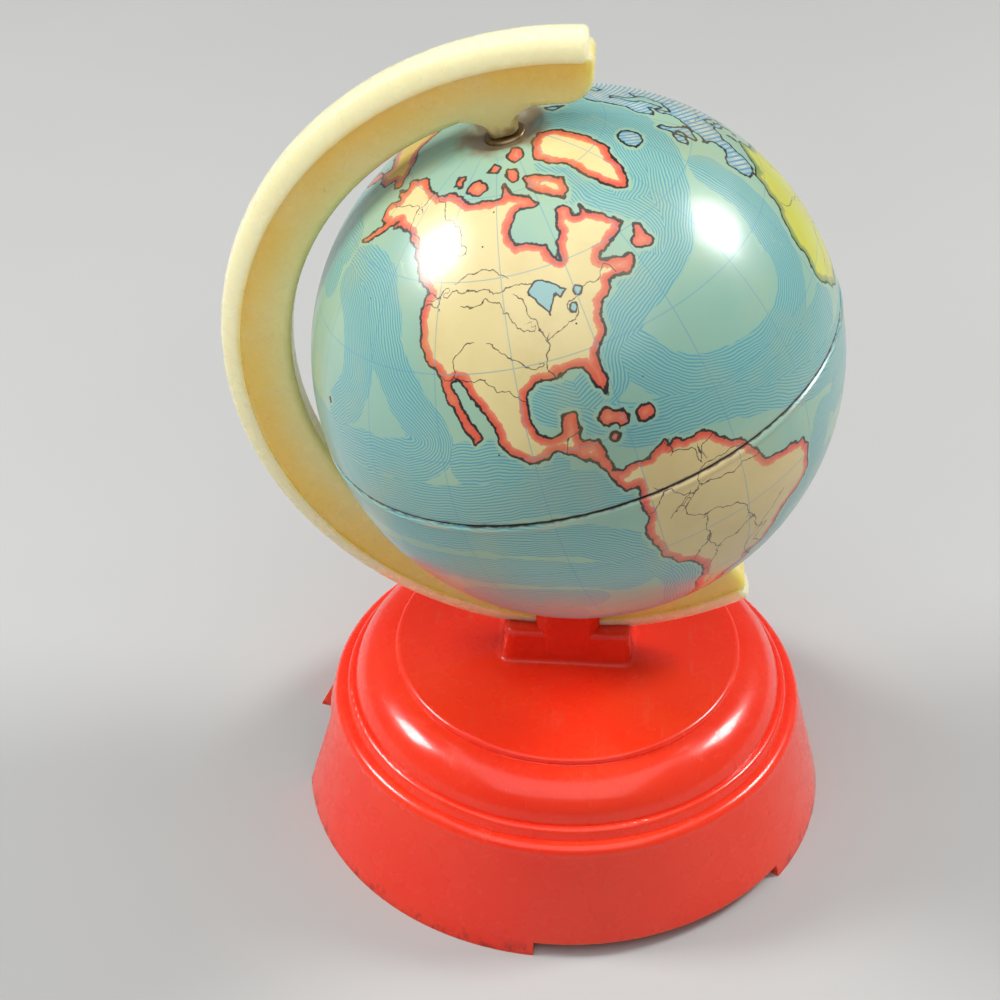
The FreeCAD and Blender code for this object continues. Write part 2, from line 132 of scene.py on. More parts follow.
# Each land's tint, and its coast as (longitude, latitude)
LANDS = [
    ("buff", (-168, 65.6), (-162, 66.5), (-166.5, 68.3), (-156.5, 71.3), (-148, 70.4), (-136, 69),
     (-128, 70.3), (-120, 69.5), (-115, 68), (-108, 68), (-101, 67.8), (-96, 68.2), (-94.5, 71.8),
     (-92, 69.5), (-88, 68), (-85, 67.5), (-82, 66.5), (-79.5, 64.5), (-82.5, 64), (-88, 64.5), (-93.5, 61.5),
     (-94.3, 58.8), (-92.5, 57), (-88, 56.5), (-82.5, 55.2), (-82, 53), (-79.5, 51.3), (-79, 54.5), (-76, 57),
     (-76, 58.8), (-74.5, 60.2), (-74, 62), (-70.5, 61.8), (-68.5, 60.5), (-69, 58.8), (-66, 58.5),
     (-64.5, 60.3), (-61.5, 57), (-57.5, 54.5), (-56, 52.5), (-60, 51), (-64, 50), (-68, 49.5), (-69, 48),
     (-66, 47.5), (-63, 46.5), (-60, 46), (-61, 44.5), (-64, 43), (-67, 44), (-70, 43.7), (-70, 41.8),
     (-74, 40.6), (-75.5, 38), (-75.6, 35.3), (-77.5, 33.5), (-79.5, 31.5), (-79.5, 28.5), (-79.5, 26),
     (-80.5, 23.5), (-82, 25.5), (-82.5, 28), (-83.5, 30), (-86, 30.4), (-89, 30.2), (-89.3, 29.1),
     (-91.5, 29.4), (-94.5, 29.5), (-97.2, 27.7), (-97.6, 25), (-97.6, 22), (-96.2, 19.3), (-94.4, 18.2),
     (-92, 18.6), (-91.3, 20.5), (-91, 22.3), (-88, 22), (-87.8, 19.5), (-88.5, 17), (-88.5, 15.8), (-87, 16),
     (-85, 15.5), (-84.7, 12), (-84, 8.5), (-82.5, 7.8), (-80, 8.5), (-75.5, 8), (-75.5, 3), (-80.5, 3.3),
     (-82, 3), (-83.5, 3), (-84.5, 5), (-85.8, 9), (-88, 12), (-91.5, 14), (-94, 15.5), (-96, 14),
     (-100, 13.7), (-103, 16), (-105.5, 18.8), (-105.5, 21.8), (-107.5, 25), (-109.2, 27.5), (-110.8, 30),
     (-113, 32.2), (-114.8, 31.2), (-113, 28), (-111.5, 25), (-109, 21), (-109, 19.5), (-110.8, 19),
     (-111.8, 21), (-113.8, 24.5), (-116.2, 28), (-117, 30.5), (-117.6, 32.6), (-118.8, 34), (-120.6, 34.5),
     (-122.4, 37), (-123.8, 39.5), (-124.3, 42.5), (-124, 46), (-124.6, 48.3), (-122.7, 48.5), (-123.5, 49.2),
     (-127.5, 51), (-130, 54), (-133.5, 57), (-136.5, 58.2), (-140, 59.7), (-144.5, 60), (-148, 60.2),
     (-151.8, 59.2), (-150.5, 61.1), (-153.5, 59.3), (-156, 57), (-160, 54.5), (-165, 52.5), (-161, 56.5),
     (-158, 59), (-162, 58.7), (-165, 60.5), (-164.8, 62.5), (-161, 64.3), (-164.5, 64.5)),
    ("tan", (-79, 8.5), (-77, 7.5), (-76.5, 9), (-75, 9.5), (-72.5, 10.5), (-72.5, 9), (-71, 10), (-69, 8.5),
     (-65.5, 8.5), (-63, 7.5), (-62, 5.5), (-60, 3.5), (-58, 2.5), (-56, -0.5), (-54.5, -3.5), (-53, -6.5),
     (-50.5, -7), (-48, -8), (-44.5, -8.5), (-41.5, -10), (-40, -12.5), (-40, -15), (-39.8, -17.5),
     (-40.8, -21.5), (-43, -23), (-46.5, -24.2), (-48.6, -26.5), (-50, -29.5), (-53.5, -34), (-56.5, -34.9),
     (-58.4, -34.2), (-57, -36.5), (-58.5, -38.5), (-62.2, -39), (-65, -41), (-63.7, -42.5), (-65.5, -45),
     (-67.5, -46.3), (-65.8, -47.5), (-69, -50.5), (-68.4, -52.5), (-65.5, -54.8), (-69, -55.5), (-73, -53),
     (-75.3, -50), (-75.5, -46.5), (-73.3, -42), (-73.5, -37.2), (-71.5, -32.5), (-71.5, -27.5),
     (-73.5, -24.5), (-77.5, -21.5), (-80, -18), (-81.2, -13), (-81.5, -7), (-81, -1.5), (-80.7, 1.8),
     (-80, 4), (-79, 6)),
    ("buff", (-68, 75), (-62, 78), (-52, 80.5), (-38, 81), (-30, 79), (-27, 75), (-28, 70), (-31, 66.5),
     (-36, 64), (-40, 60), (-44, 57.5), (-48, 59), (-52, 64), (-54, 68.5), (-57, 71), (-63, 73)),
    ("buff", (-82, 72), (-74, 71.5), (-62, 67.5), (-64, 65), (-68, 63), (-73, 65), (-78, 67), (-82, 69.5)),
    ("coral", (-90, 78.5), (-80, 81), (-70, 79.5), (-76, 77), (-84, 76.5)),
    ("coral", (-118, 70.5), (-117, 73), (-110, 73.5), (-104, 71.5), (-109, 69.5)),
    ("coral", (-130, 71.5), (-131, 74), (-124, 74.5), (-123, 72)),
    ("coral", (-92, 73), (-90, 75.5), (-84, 74.5), (-85, 71.5), (-89, 71.5)),
    ("coral", (-107, 75.5), (-102, 77.5), (-95, 76.5), (-99, 75)),
    ("coral", (-58, 46.5), (-58, 48.5), (-55.5, 49), (-53.5, 51), (-52, 50), (-52.5, 48), (-52, 46),
     (-55, 45.3)),
    ("coral", (-84, 19), (-83.5, 20.5), (-82, 21.2), (-80.5, 20), (-78.5, 19.8), (-77.5, 18), (-78.5, 16.5),
     (-80, 16.6), (-81, 17.8), (-83, 17.7)),
    ("coral", (-76.5, 17), (-76, 18.6), (-74.5, 19), (-72.8, 18.6), (-72.5, 16.6), (-74, 15.6),
     (-75.8, 15.8)),
    ("coral", (-83, 15), (-82.5, 16.2), (-81.2, 16.2), (-80.6, 15), (-81.2, 13.9), (-82.5, 13.9)),
    ("blue", (-23.5, 61.5), (-24.5, 63.5), (-21, 65.5), (-15, 65.5), (-12.5, 63.5), (-14, 61.5),
     (-18.5, 60.7)),
    ("blue", (-5.7, 50.1), (-4.5, 52), (-3, 54), (-5, 55), (-5.5, 57), (-5, 58.5), (-2, 57.5), (-1.5, 55),
     (0.3, 53), (1.7, 52.5), (1.3, 51.2), (-2, 50.6)),
    ("blue", (-10, 51.7), (-9.8, 54), (-7.5, 55.3), (-5.6, 54.4), (-6.3, 52.2)),
    ("blue", (-9, 37), (-9.4, 38.8), (-9.2, 43.1), (-2, 43.4), (-1.3, 45.8), (-4.7, 48.3), (-1.6, 48.7),
     (1.7, 50.9), (4.5, 52.5), (8.2, 53.8), (8.2, 56.8), (10.5, 57.6), (10.5, 54.4), (14, 54), (18.6, 54.7),
     (21, 56), (24, 57.2), (23.5, 59), (28, 59.8), (23, 59.9), (21.4, 61), (21.5, 63), (25, 65.2), (22, 65.8),
     (17.5, 62), (17.2, 60.7), (18.8, 60), (16.5, 57.5), (14.3, 55.5), (12.8, 56), (11.2, 59), (8, 58.1),
     (5.3, 59), (5, 62), (10, 64), (13.5, 67), (18, 69.5), (25.5, 71), (31, 70), (41, 67), (40, 66.2),
     (33, 66.6), (35, 64.5), (40, 64.7), (44, 66), (43.5, 68.5), (53, 68.5), (60, 68.8), (67, 69), (69, 73),
     (73, 71.5), (73.5, 68), (77, 72.3), (81, 73), (88, 75.2), (100, 76.4), (104.5, 77.7), (113, 75.8),
     (110, 74), (120, 73), (127, 73.3), (130, 71), (140, 72.5), (150, 71.5), (160, 69.8), (170, 70),
     (180, 69), (190, 66), (187, 64.5), (180, 64.8), (178, 62.5), (170.5, 60), (164, 59.8), (163, 56),
     (160, 53), (156.7, 51), (155.8, 56), (164, 62.5), (156.5, 61.5), (150, 59.5), (142, 59), (135.5, 54.7),
     (141, 53), (140.5, 49), (135.5, 44), (131.5, 43), (129.5, 41), (127.5, 39.5), (129.4, 37), (129, 35.2),
     (126.5, 34.5), (126.6, 37), (125, 39.6), (121.5, 39), (122, 40.6), (118, 39), (119, 37.3), (122.4, 37),
     (119.3, 35), (121.8, 31.5), (121.5, 28.5), (119, 25.2), (114, 22.3), (110.3, 21), (108, 21.6),
     (105.8, 19), (108.8, 15.5), (109.2, 11.6), (106.8, 10.3), (105, 8.7), (104.8, 10.5), (102, 12.5),
     (100.5, 13.5), (99.3, 10), (100.5, 7), (103.4, 4.5), (103.5, 1.5), (101, 3), (100.3, 6), (98.3, 8.5),
     (98.6, 12), (97.5, 16.5), (94.5, 16), (94, 19), (91.5, 22.5), (88.5, 21.7), (86.5, 20), (82.2, 16.5),
     (80.2, 15), (80.2, 13), (79.8, 10.3), (77.6, 8.1), (76.2, 10.5), (74, 15), (72.8, 19), (72.7, 21),
     (70, 20.9), (69, 22.3), (67, 24.8), (61.5, 25.1), (56.5, 27), (51.5, 27.8), (48.8, 30.3), (48, 29.5),
     (50.2, 26.3), (51.5, 24.5), (54.5, 24.2), (56.4, 26.2), (57, 24), (59.8, 22.4), (57.8, 19), (55, 17),
     (52.2, 15.6), (45, 12.8), (43.4, 12.7), (42.7, 16.5), (39, 21.5), (35.2, 28), (34.9, 29.5), (34.2, 31.3),
     (35.8, 35.5), (36, 36.8), (32, 36.1), (30.5, 36.5), (27.3, 37), (26.3, 39.5), (29, 41.2), (31.5, 41.2),
     (35, 42), (41.5, 41.5), (38, 44.5), (36.5, 45.3), (39, 47.2), (35, 46.3), (33.5, 44.5), (32, 46.3),
     (30.5, 46), (28, 43.5), (28, 41.7), (26, 40.6), (23.7, 40.3), (23, 39), (24, 37.7), (22.5, 36.5),
     (21.3, 37.8), (19.4, 41.5), (15, 44.8), (13.7, 45.6), (12.3, 45.2), (12.5, 44), (16, 41.8), (18.4, 40),
     (16.8, 40.3), (16.5, 38.2), (15.7, 38.2), (15.5, 40), (12.3, 41.8), (10.3, 43.8), (8.8, 44.4),
     (6.5, 43.2), (3.2, 43), (3, 41.8), (0.2, 40), (-0.3, 38.5), (-2, 36.8), (-5.3, 36.1), (-6.3, 36.7),
     (-8.5, 37)),
    ("lime", (-5.9, 35.8), (-2, 35.1), (3, 36.9), (10, 37.3), (11, 36.8), (10.2, 34.2), (15, 32.4),
     (20, 30.8), (20.2, 32.5), (23, 32.6), (29, 30.9), (32.3, 31.3), (34, 31.1), (32.5, 29.9), (33.8, 27.2),
     (35.5, 24), (37.2, 20.8), (37.5, 18.8), (39.5, 15.5), (43.1, 12.5), (43.3, 11.5), (51.2, 11.8),
     (51, 10.4), (48, 4.5), (44, 1), (41.5, -1.8), (39.2, -5), (39.5, -8.5), (40.6, -10.8), (40.7, -15),
     (36.9, -17.9), (34.8, -20), (35.5, -23.8), (32.8, -26), (32.5, -28.5), (30, -31.3), (26, -33.8),
     (20, -34.8), (18.3, -34), (18.3, -31.8), (15.2, -27), (14.4, -22.5), (11.8, -18), (13.5, -12.3),
     (13.3, -8.8), (12, -5), (9, -1), (9.6, 2), (9.5, 4), (8.5, 4.7), (6, 4.3), (4.4, 6.3), (1, 6), (-2, 4.8),
     (-4.5, 5.2), (-7.6, 4.4), (-11.5, 6.8), (-13.3, 8.9), (-16.7, 12.3), (-17.4, 14.7), (-16.3, 19),
     (-17, 21), (-14.8, 25.6), (-13, 27.8), (-9.8, 29.6), (-9.7, 31.5), (-6.8, 34)),
    ("lime", (44.3, -20), (44.2, -16.5), (49.3, -12), (50.4, -15.7), (47.1, -25), (45, -25.5), (43.5, -23)),
    ("buff", (113.7, -22.5), (114, -26.5), (115.7, -32), (115.1, -34.3), (118, -35), (123.5, -34),
     (129, -31.6), (134, -32.8), (137.7, -35), (138.2, -33), (138.5, -35.6), (140.5, -38), (144.5, -38.2),
     (147, -38.8), (150, -37.3), (152.8, -32), (153.5, -28.3), (150.8, -23.2), (146.3, -18.9), (145.3, -15),
     (142.5, -10.8), (141.6, -14), (140.8, -17.5), (137, -16), (135.5, -15), (136.8, -12.2), (132.5, -11.4),
     (130.5, -12.5), (129, -15), (126, -14), (122.2, -18), (119, -20)),
    ("coral", (144.8, -40.8), (148.3, -40.9), (147.8, -43.2), (146, -43.4)),
    ("coral", (172.8, -34.5), (178.4, -37.7), (175.3, -41.5), (174.7, -38.5)),
    ("coral", (172.7, -40.6), (174, -41.6), (170.6, -46), (168.5, -46.6), (166.6, -46), (170, -43)),
    ("lime", (131, -0.8), (135, -3.3), (141, -2.6), (146, -5.5), (150.6, -10.4), (143.5, -8.5), (138.5, -8.2),
     (138, -5.5), (133, -4)),
    ("coral", (109, 1.5), (113, 3.5), (117, 7), (119, 5), (117.7, 1), (116, -4), (111.5, -3.3), (110, -1)),
    ("coral", (95.3, 5.5), (100, 2.5), (104, -1.5), (106, -3), (105.5, -5.8), (102, -4), (98.7, 1.7)),
    ("coral", (105.3, -6.5), (108.5, -6.6), (114.4, -7.6), (114.3, -8.7), (108.5, -7.8)),
    ("coral", (119.8, 0.5), (124.9, 1.5), (121, 0), (123, -1), (122.5, -4.8), (121, -3), (119.6, -5.5),
     (119, -3)),
    ("coral", (120.6, 18.5), (122.2, 18.4), (122, 15), (124, 13), (120.8, 13.8), (120, 16.2)),
    ("coral", (122, 7), (125.5, 9.7), (126.3, 6.5), (124, 6.5)),
    ("amber", (130.2, 31.2), (129.8, 33.2), (132.5, 35.5), (136.5, 37.3), (139.8, 39), (141.3, 41.4),
     (142, 39.5), (140.8, 36), (138.8, 34.6), (135.8, 33.5), (131.4, 31.4)),
    ("amber", (140, 42), (141.7, 45.4), (145.4, 43.5), (143.3, 42), (141, 42.4)),
    ("amber", (142, 46), (142.2, 54.2), (143.2, 52), (143, 47)),
    ("coral", (79.8, 8), (80, 9.7), (81.8, 7.3), (80.6, 6)),
    ("coral", (120.2, 23), (121.5, 25.2), (120.9, 22)),
    ("coral", (108.7, 19.2), (110.8, 20), (109.5, 18.3)),
    ("blue", (52, 71), (57, 74), (67, 76.8), (60, 75.2), (56, 71.5)),
    ("blue", (11, 79), (18, 80.2), (27, 80), (18, 76.7)),
    ("blue", (12.5, 38), (15.4, 38.2), (15, 36.8)),
    ("blue", (8.3, 41), (9.7, 40.8), (9.5, 39.2), (8.4, 39)),
    ("coral", (-180, -16.3), (-178, -17.5), (-180.5, -18.3)),
    ("coral", (-156, 20.2), (-154.8, 19.5), (-155.8, 18.9)),
    ("coral", (-58.5, -51.5), (-57.8, -52.3), (-61, -52)),
    ("coral", (164, -20.3), (167, -22.3), (165, -21.6)),
    ("white", (-60, -63.5), (-62, -70), (-75, -73.5), (-100, -73), (-120, -74), (-150, -77), (-163, -78.3),
     (-180, -78), (-195, -77), (-190, -72), (-205, -69), (-225, -66.5), (-250, -66.3), (-272, -66.3),
     (-285, -69.5), (-300, -67.3), (-320, -69.3), (-345, -70.3), (-10, -71.2), (-28, -76), (-45, -78),
     (-60, -75), (-60.5, -67)),
]

# Where the blue land goes over to amber, which is further west in the south
AMBER_FROM = 52
AMBER_SOUTH_FROM = 30
AMBER_SOUTH_LATITUDE = 41
AMBER_TO = 200

LAKES = [
    [(-92.5, 46.6), (-88.8, 48.9), (-84.5, 47.2), (-81.2, 45.2), (-83.4, 44.2), (-84.6, 45.4), (-86, 43.5),
     (-87.4, 41.4), (-88.6, 43.4), (-90, 45.2)],
    [(-82.5, 41), (-81.5, 42.6), (-79.8, 42), (-80.8, 40.4)],
    [(-79.8, 44), (-78.6, 45.6), (-76.8, 44.6), (-78, 43.2)],
    [(47, 45), (51, 47), (53, 45.4), (51, 44), (53, 41), (54, 37.3), (50, 37.4), (49, 40), (48, 42),
     (47, 44)],
    [(58.3, 45.5), (60.5, 46.5), (60, 43.8)],
    [(104, 51.6), (109.5, 55.5), (106.5, 52.2)],
    [(31.8, 0), (34, 0.2), (33, -2.6)],
]

# Rivers and borders
INK_LINES = [
    [(-123, 49), (-110, 49), (-95, 49), (-89.5, 48)],
    [(-82.5, 42), (-79, 43.3), (-75, 45), (-71, 45.2), (-69, 47.3), (-67.2, 45)],
    [(-117, 32.5), (-111, 31.3), (-106.5, 31.7), (-103, 29), (-99.5, 27.5), (-97.2, 25.9)],
    [(-141, 69.6), (-141, 60.3), (-135, 59.5), (-130, 55.5)],
    [(-90, 29.5), (-91, 33), (-89.5, 37), (-91, 41), (-95, 47)],
    [(-90, 38.7), (-95, 39.5), (-98, 43), (-104, 47.5), (-111, 46)],
    [(-89.3, 37), (-86, 38), (-80, 40.5)],
    [(-91.2, 32), (-97, 34), (-104, 38.5)],
    [(-124, 46.2), (-119, 46), (-117, 50)],
    [(-114.7, 31.8), (-114, 36), (-109, 39)],
    [(-135, 68.5), (-125, 64), (-114, 61), (-111, 57), (-118, 54)],
    [(-97.5, 51), (-106, 53), (-113, 51)],
    [(-163, 63), (-152, 65), (-141, 65)],
    [(-92.2, 14.5), (-91, 17.5), (-89, 17.8), (-88.3, 18.4)],
    [(-54, -4), (-60, -3.5), (-66, -3), (-73, -4.5), (-76, -7)],
    [(-63, 7), (-66, 6), (-66, 3)],
    [(-58.5, -33.5), (-59, -28), (-54, -23), (-49, -19)],
    [(-56, -0.5), (-60, 1.5), (-67, 1.5), (-70, -4), (-73, -8), (-69, -11), (-60, -14), (-58, -19),
     (-57, -24), (-54, -26), (-57, -30), (-53.5, -33.7)],
    [(-77.5, 0.8), (-75, -0.2), (-70, -4)],
    [(-81, -4), (-78.5, -3.5), (-75.2, -0.3)],
    [(-74, -24), (-69, -17), (-69, -11)],
    [(-69, -17.5), (-67.5, -22.8), (-62.5, -22), (-58, -20)],
    [(-67.5, -22.8), (-70, -33), (-71.5, -42), (-72, -50)],
    [(-73, 10), (-72, 7), (-67.5, 5.5), (-67, 1.5)],
    [(31, 31), (32.5, 25), (31, 21), (33, 16), (32, 8), (32, 1)],
    [(12.5, -6), (16, -3), (20, 2), (25, 0), (26, -9)],
    [(6, 4.5), (6, 10), (0, 16), (-5, 14), (-10, 10)],
    [(-8, 27.5), (-5, 25), (5, 19.5), (12, 23.5), (9, 30), (11, 33)],
    [(25, 31.5), (25, 20), (24, 12), (28, 5)],
    [(35, -18), (30, -16), (25, -18), (22, -12)],
    [(20, -28), (20, -20), (25, -18)],
    [(29.5, 45), (23, 44), (19, 46), (10, 48.5)],
    [(4.5, 52), (7, 50), (8, 47.5)],
    [(18.5, 54.5), (21, 51), (19, 49.5)],
    [(28, 59.5), (28, 56), (31, 53), (24, 50), (29, 46)],
    [(47.5, 46), (46, 49), (50, 53), (45, 56), (37, 57)],
    [(69, 66.5), (69, 61), (77, 58), (83, 52)],
    [(83, 70), (88, 62), (92, 56), (97, 51)],
    [(127, 72), (124, 64), (130, 61), (115, 59), (106, 54)],
    [(141, 53), (135, 48), (127, 50), (119, 53)],
    [(121, 31.5), (115, 30), (108, 31), (101, 26), (97, 32)],
    [(118, 38), (110, 35), (110, 40), (103, 36), (98, 34)],
    [(89, 22), (85, 25.5), (78, 29.5)],
    [(67.5, 24), (71, 30), (76, 35), (80, 31)],
    [(60, 50), (70, 54), (80, 50), (90, 50), (100, 51), (117, 49.5)],
    [(61.5, 25.5), (61, 35), (66, 38), (74, 38), (80, 43), (87, 49)],
    [(81, 30), (89, 27.5), (97, 28), (99, 21), (105, 23), (108, 21.6)],
    [(106, 10), (105, 15), (102, 19), (99, 26)],
    [(48, 30), (45, 36), (39, 37.5)],
    [(129, -15), (129, -31.6)],
    [(129, -26), (138, -26), (141, -26), (141, -38)],
    [(138, -16), (138, -26)],
    [(141, -29), (149, -29), (153.4, -28.3)],
    [(139, -35.5), (142, -34), (148, -36)],
]

# The middle line of each ocean current
CURRENTS = [
    [(-85, 23), (-79, 26), (-78, 31), (-72, 36), (-62, 40), (-50, 43), (-40, 48), (-28, 54), (-15, 60),
     (-3, 65), (8, 70), (22, 74)],
    [(-18, 46), (-18, 38), (-21, 30), (-24, 22), (-31, 16), (-42, 14), (-52, 15), (-61, 18), (-68, 23),
     (-72, 29)],
    [(-59, 71), (-58, 65), (-57, 59), (-50, 54), (-47, 48), (-53, 43)],
    [(-10, 80), (-13, 74), (-23, 67), (-33, 63), (-40, 58), (-48, 57)],
    [(8, -4), (-5, -2), (-18, -2), (-30, -1), (-40, 3), (-49, 8), (-58, 13), (-68, 14), (-76, 15), (-83, 19),
     (-88, 23), (-92, 25)],
    [(-20, 8), (-32, 8), (-43, 9), (-52, 10)],
    [(-33, -11), (-36, -18), (-42, -28), (-48, -36), (-44, -42), (-30, -44), (-10, -43), (10, -43),
     (28, -44)],
    [(13, -32), (9, -24), (6, -15), (-2, -10), (-14, -9), (-25, -11)],
    [(-158, 50), (-145, 49), (-138, 43), (-134, 35), (-127, 27), (-119, 19), (-125, 14), (-142, 13),
     (-160, 12), (-180, 12), (-200, 12), (-216, 13), (-230, 17)],
    [(-158, 45), (-149, 41), (-144, 33), (-144, 25), (-152, 19)],
    [(-237, 20), (-232, 28), (-222, 33), (-208, 37), (-190, 40), (-172, 41)],
    [(-81, 4), (-92, 6), (-105, 6), (-118, 5), (-135, 5), (-155, 5), (-175, 5), (-195, 5), (-210, 3)],
    [(-97, 14), (-105, 15), (-113, 15)],
    [(-78, -44), (-77, -34), (-76, -26), (-82, -15), (-92, -7), (-108, -3), (-130, -3), (-150, -3),
     (-172, -4), (-192, -5)],
    [(-88, -22), (-98, -16), (-115, -13), (-135, -14), (-155, -16), (-175, -20)],
    [(156, -11), (157, -22), (157, -32), (162, -40), (175, -49), (192, -47), (215, -44), (240, -43),
     (262, -45), (278, -50)],
    [(-65, -60), (-40, -55), (-10, -53), (20, -53), (50, -54), (80, -54), (110, -55), (140, -57), (170, -60),
     (200, -60), (230, -60), (260, -60), (285, -60)],
    [(112, -37), (108, -28), (104, -20), (95, -14), (80, -11), (65, -10), (53, -9)],
    [(45, -8), (42, -16), (39, -25), (34, -32), (27, -38), (38, -40), (52, -38), (70, -38), (90, -39),
     (105, -40)],
    [(52, 8), (58, 15), (66, 15), (72, 10), (79, 3), (88, 6), (91, 14)],
    [(60, -3), (75, -3), (90, -3)],
    [(166, 58), (158, 49), (150, 43), (146, 38)],
    [(-172, 50), (-180, 49), (-190, 52)],
    [(112, 18), (114, 11), (109, 6)],
    [(72, -22), (85, -24), (95, -27), (85, -31), (70, -29)],
    [(-15, -22), (-8, -27), (-15, -33), (-28, -32), (-30, -25)],
    [(-100, -27), (-115, -24), (-130, -27), (-125, -34), (-108, -35)],
]


def unit(longitude, latitude):
    """A place on the map as a direction from the globe's centre, with the pole along Z."""
    turn = math.radians(longitude + PRINT_TURN)
    rise = math.radians(latitude)
    return Vector((math.cos(rise) * math.cos(turn), math.cos(rise) * math.sin(turn), math.sin(rise)))


def break_up(first, last, ragged):
    """Points from first up to last, halved and pushed aside over and over, as a drawn coast wanders."""
    gap = last - first
    if gap.length < FINEST:
        return [first]
    middle = (first + last).normalized()
    middle += middle.cross(gap) * ragged * random.uniform(-1, 1)
    middle.normalize()
    return break_up(first, middle, ragged) + break_up(middle, last, ragged)


def traced(corners, ragged):
    """Close points along a line from corner to corner."""
    return [point for first, last in zip(corners, corners[1:]) for point in break_up(first, last, ragged)]


def drawn(places, closed, ragged):
    """A coast, lake, river or border as close points on the unit sphere."""
    corners = [unit(*place) for place in places]
    if closed:
        corners.append(corners[0])
    return traced(corners, ragged)


def flowing(places):
    """A current's middle line, smoothed by cutting its corners over and over."""
    line = [unit(*place) for place in places]
    for _ in range(CORNER_CUTS):
        cut = [line[0]]
        for first, last in zip(line, line[1:]):
            cut.append((first * (1 - CORNER_CUT) + last * CORNER_CUT).normalized())
            cut.append((first * CORNER_CUT + last * (1 - CORNER_CUT)).normalized())
        line = cut + [line[-1]]
    return traced(line, 0)


def room(line, layer):
    """How near a line comes to those of a layer, in globe radii, or the globe's width if it has none."""
    others = [other for kept in layer for other in kept[::SAMPLE_EVERY]]
    return min(((spot - other).length for spot in line[::SAMPLE_EVERY] for other in others), default=2)


def layered(lines):
    """Share lines out over layers, so that no two in one layer come close enough to mix."""
    layers = [[] for _ in STREAM_LAYERS]
    for line in lines:
        rooms = [room(line, layer) for layer in layers]
        free = [layer for layer, gap in zip(layers, rooms) if gap * RADIUS > STREAM_ROOM]
        widest = layers[rooms.index(max(rooms))]
        (free[0] if free else widest).append(line)
    return layers


def within(points, outline):
    """Which points lie inside a closed outline on the sphere, in a stereographic view centred on it."""
    margin = 0.05
    slanting = (0.3, 0.5, 0.8)
    outline = np.array([tuple(point) for point in outline])
    middle = outline.mean(axis=0)
    middle /= np.linalg.norm(middle)
    side = np.cross(middle, slanting)
    side /= np.linalg.norm(side)
    up = np.cross(middle, side)

    def flat(spots):
        return spots @ side / (1 + spots @ middle), spots @ up / (1 + spots @ middle)

    near = np.flatnonzero(points @ middle > (outline @ middle).min() - margin)
    x, y = flat(points[near])
    inside = np.zeros(len(near), bool)
    edge_x, edge_y = flat(outline)
    for x1, y1, x2, y2 in zip(edge_x, edge_y, np.roll(edge_x, -1), np.roll(edge_y, -1)):
        spans = np.flatnonzero((y1 > y) != (y2 > y))
        inside[spans] ^= x[spans] < x1 + (y[spans] - y1) * (x2 - x1) / (y2 - y1)
    return near[inside]


def open_shores(outlines):
    """The outlines without their parts inside another, so that joined lands have no coast between."""
    points = np.array([tuple(point) for outline in outlines for point in outline])
    owner = np.array([index for index, outline in enumerate(outlines) for _ in outline])
    buried = np.zeros(len(points), bool)
    for index, outline in enumerate(outlines):
        held = within(points, outline)
        buried[held[owner[held] != index]] = True
    return [[Vector(point) for point in points[~buried & (owner == index)]]
            for index in range(len(outlines))]


coasts = [drawn(places, True, COAST_RAGGED) for _, *places in LANDS]
shores = open_shores(coasts)
lakes = [drawn(places, True, COAST_RAGGED) for places in LAKES]
ink_lines = [drawn(places, False, INK_RAGGED) for places in INK_LINES]
streams = layered([flowing(places) for places in CURRENTS])


def nearest(points, lines):
    """Each point's distance from the nearest line and to its left, in millimetres, and which line it is."""
    spots = [spot for line in lines for spot in line]
    owner = [index for index, line in enumerate(lines) for _ in line]
    lefts = []
    for line in lines:
        lefts += [first.cross(last - first).normalized() for first, last in zip(line, line[1:])]
        lefts.append(lefts[-1])
    tree = KDTree(len(spots))
    for index, spot in enumerate(spots):
        tree.insert(spot, index)
    tree.balance()
    found = [(point, *tree.find(point)) for point in points]
    away = np.array([gap for _, _, _, gap in found])
    left = np.array([(point - spot).dot(lefts[index]) for point, spot, index, _ in found])
    which = np.array([owner[index] for _, _, index, _ in found])
    return away * RADIUS, left * RADIUS, which


def region_tints(points, owner):
    """Land and band colour for each point, from the region whose coast is nearest or which holds it."""
    names = np.array([LANDS[index][0] for index in owner], dtype=object)
    longitude = (np.degrees(np.arctan2(points[:, 1], points[:, 0])) - PRINT_TURN) % 360
    latitude = np.degrees(np.arcsin(points[:, 2]))
    east = (longitude > AMBER_FROM) | ((longitude > AMBER_SOUTH_FROM) & (latitude < AMBER_SOUTH_LATITUDE))
    names[(names == "blue") & east & (longitude < AMBER_TO)] = "amber"
    land, band = [np.array([TINTS[name][side] for name in names]) for side in (0, 1)]
    return land, band, np.isin(names, HATCHED).astype(float)


def store(mesh, name, values, kind="FLOAT", field="value"):
    """Keep a value for each vertex, where the print's material reads it."""
    kept = mesh.attributes.new(name, kind, "POINT")
    kept.data.foreach_set(field, np.asarray(values, np.float32).ravel())


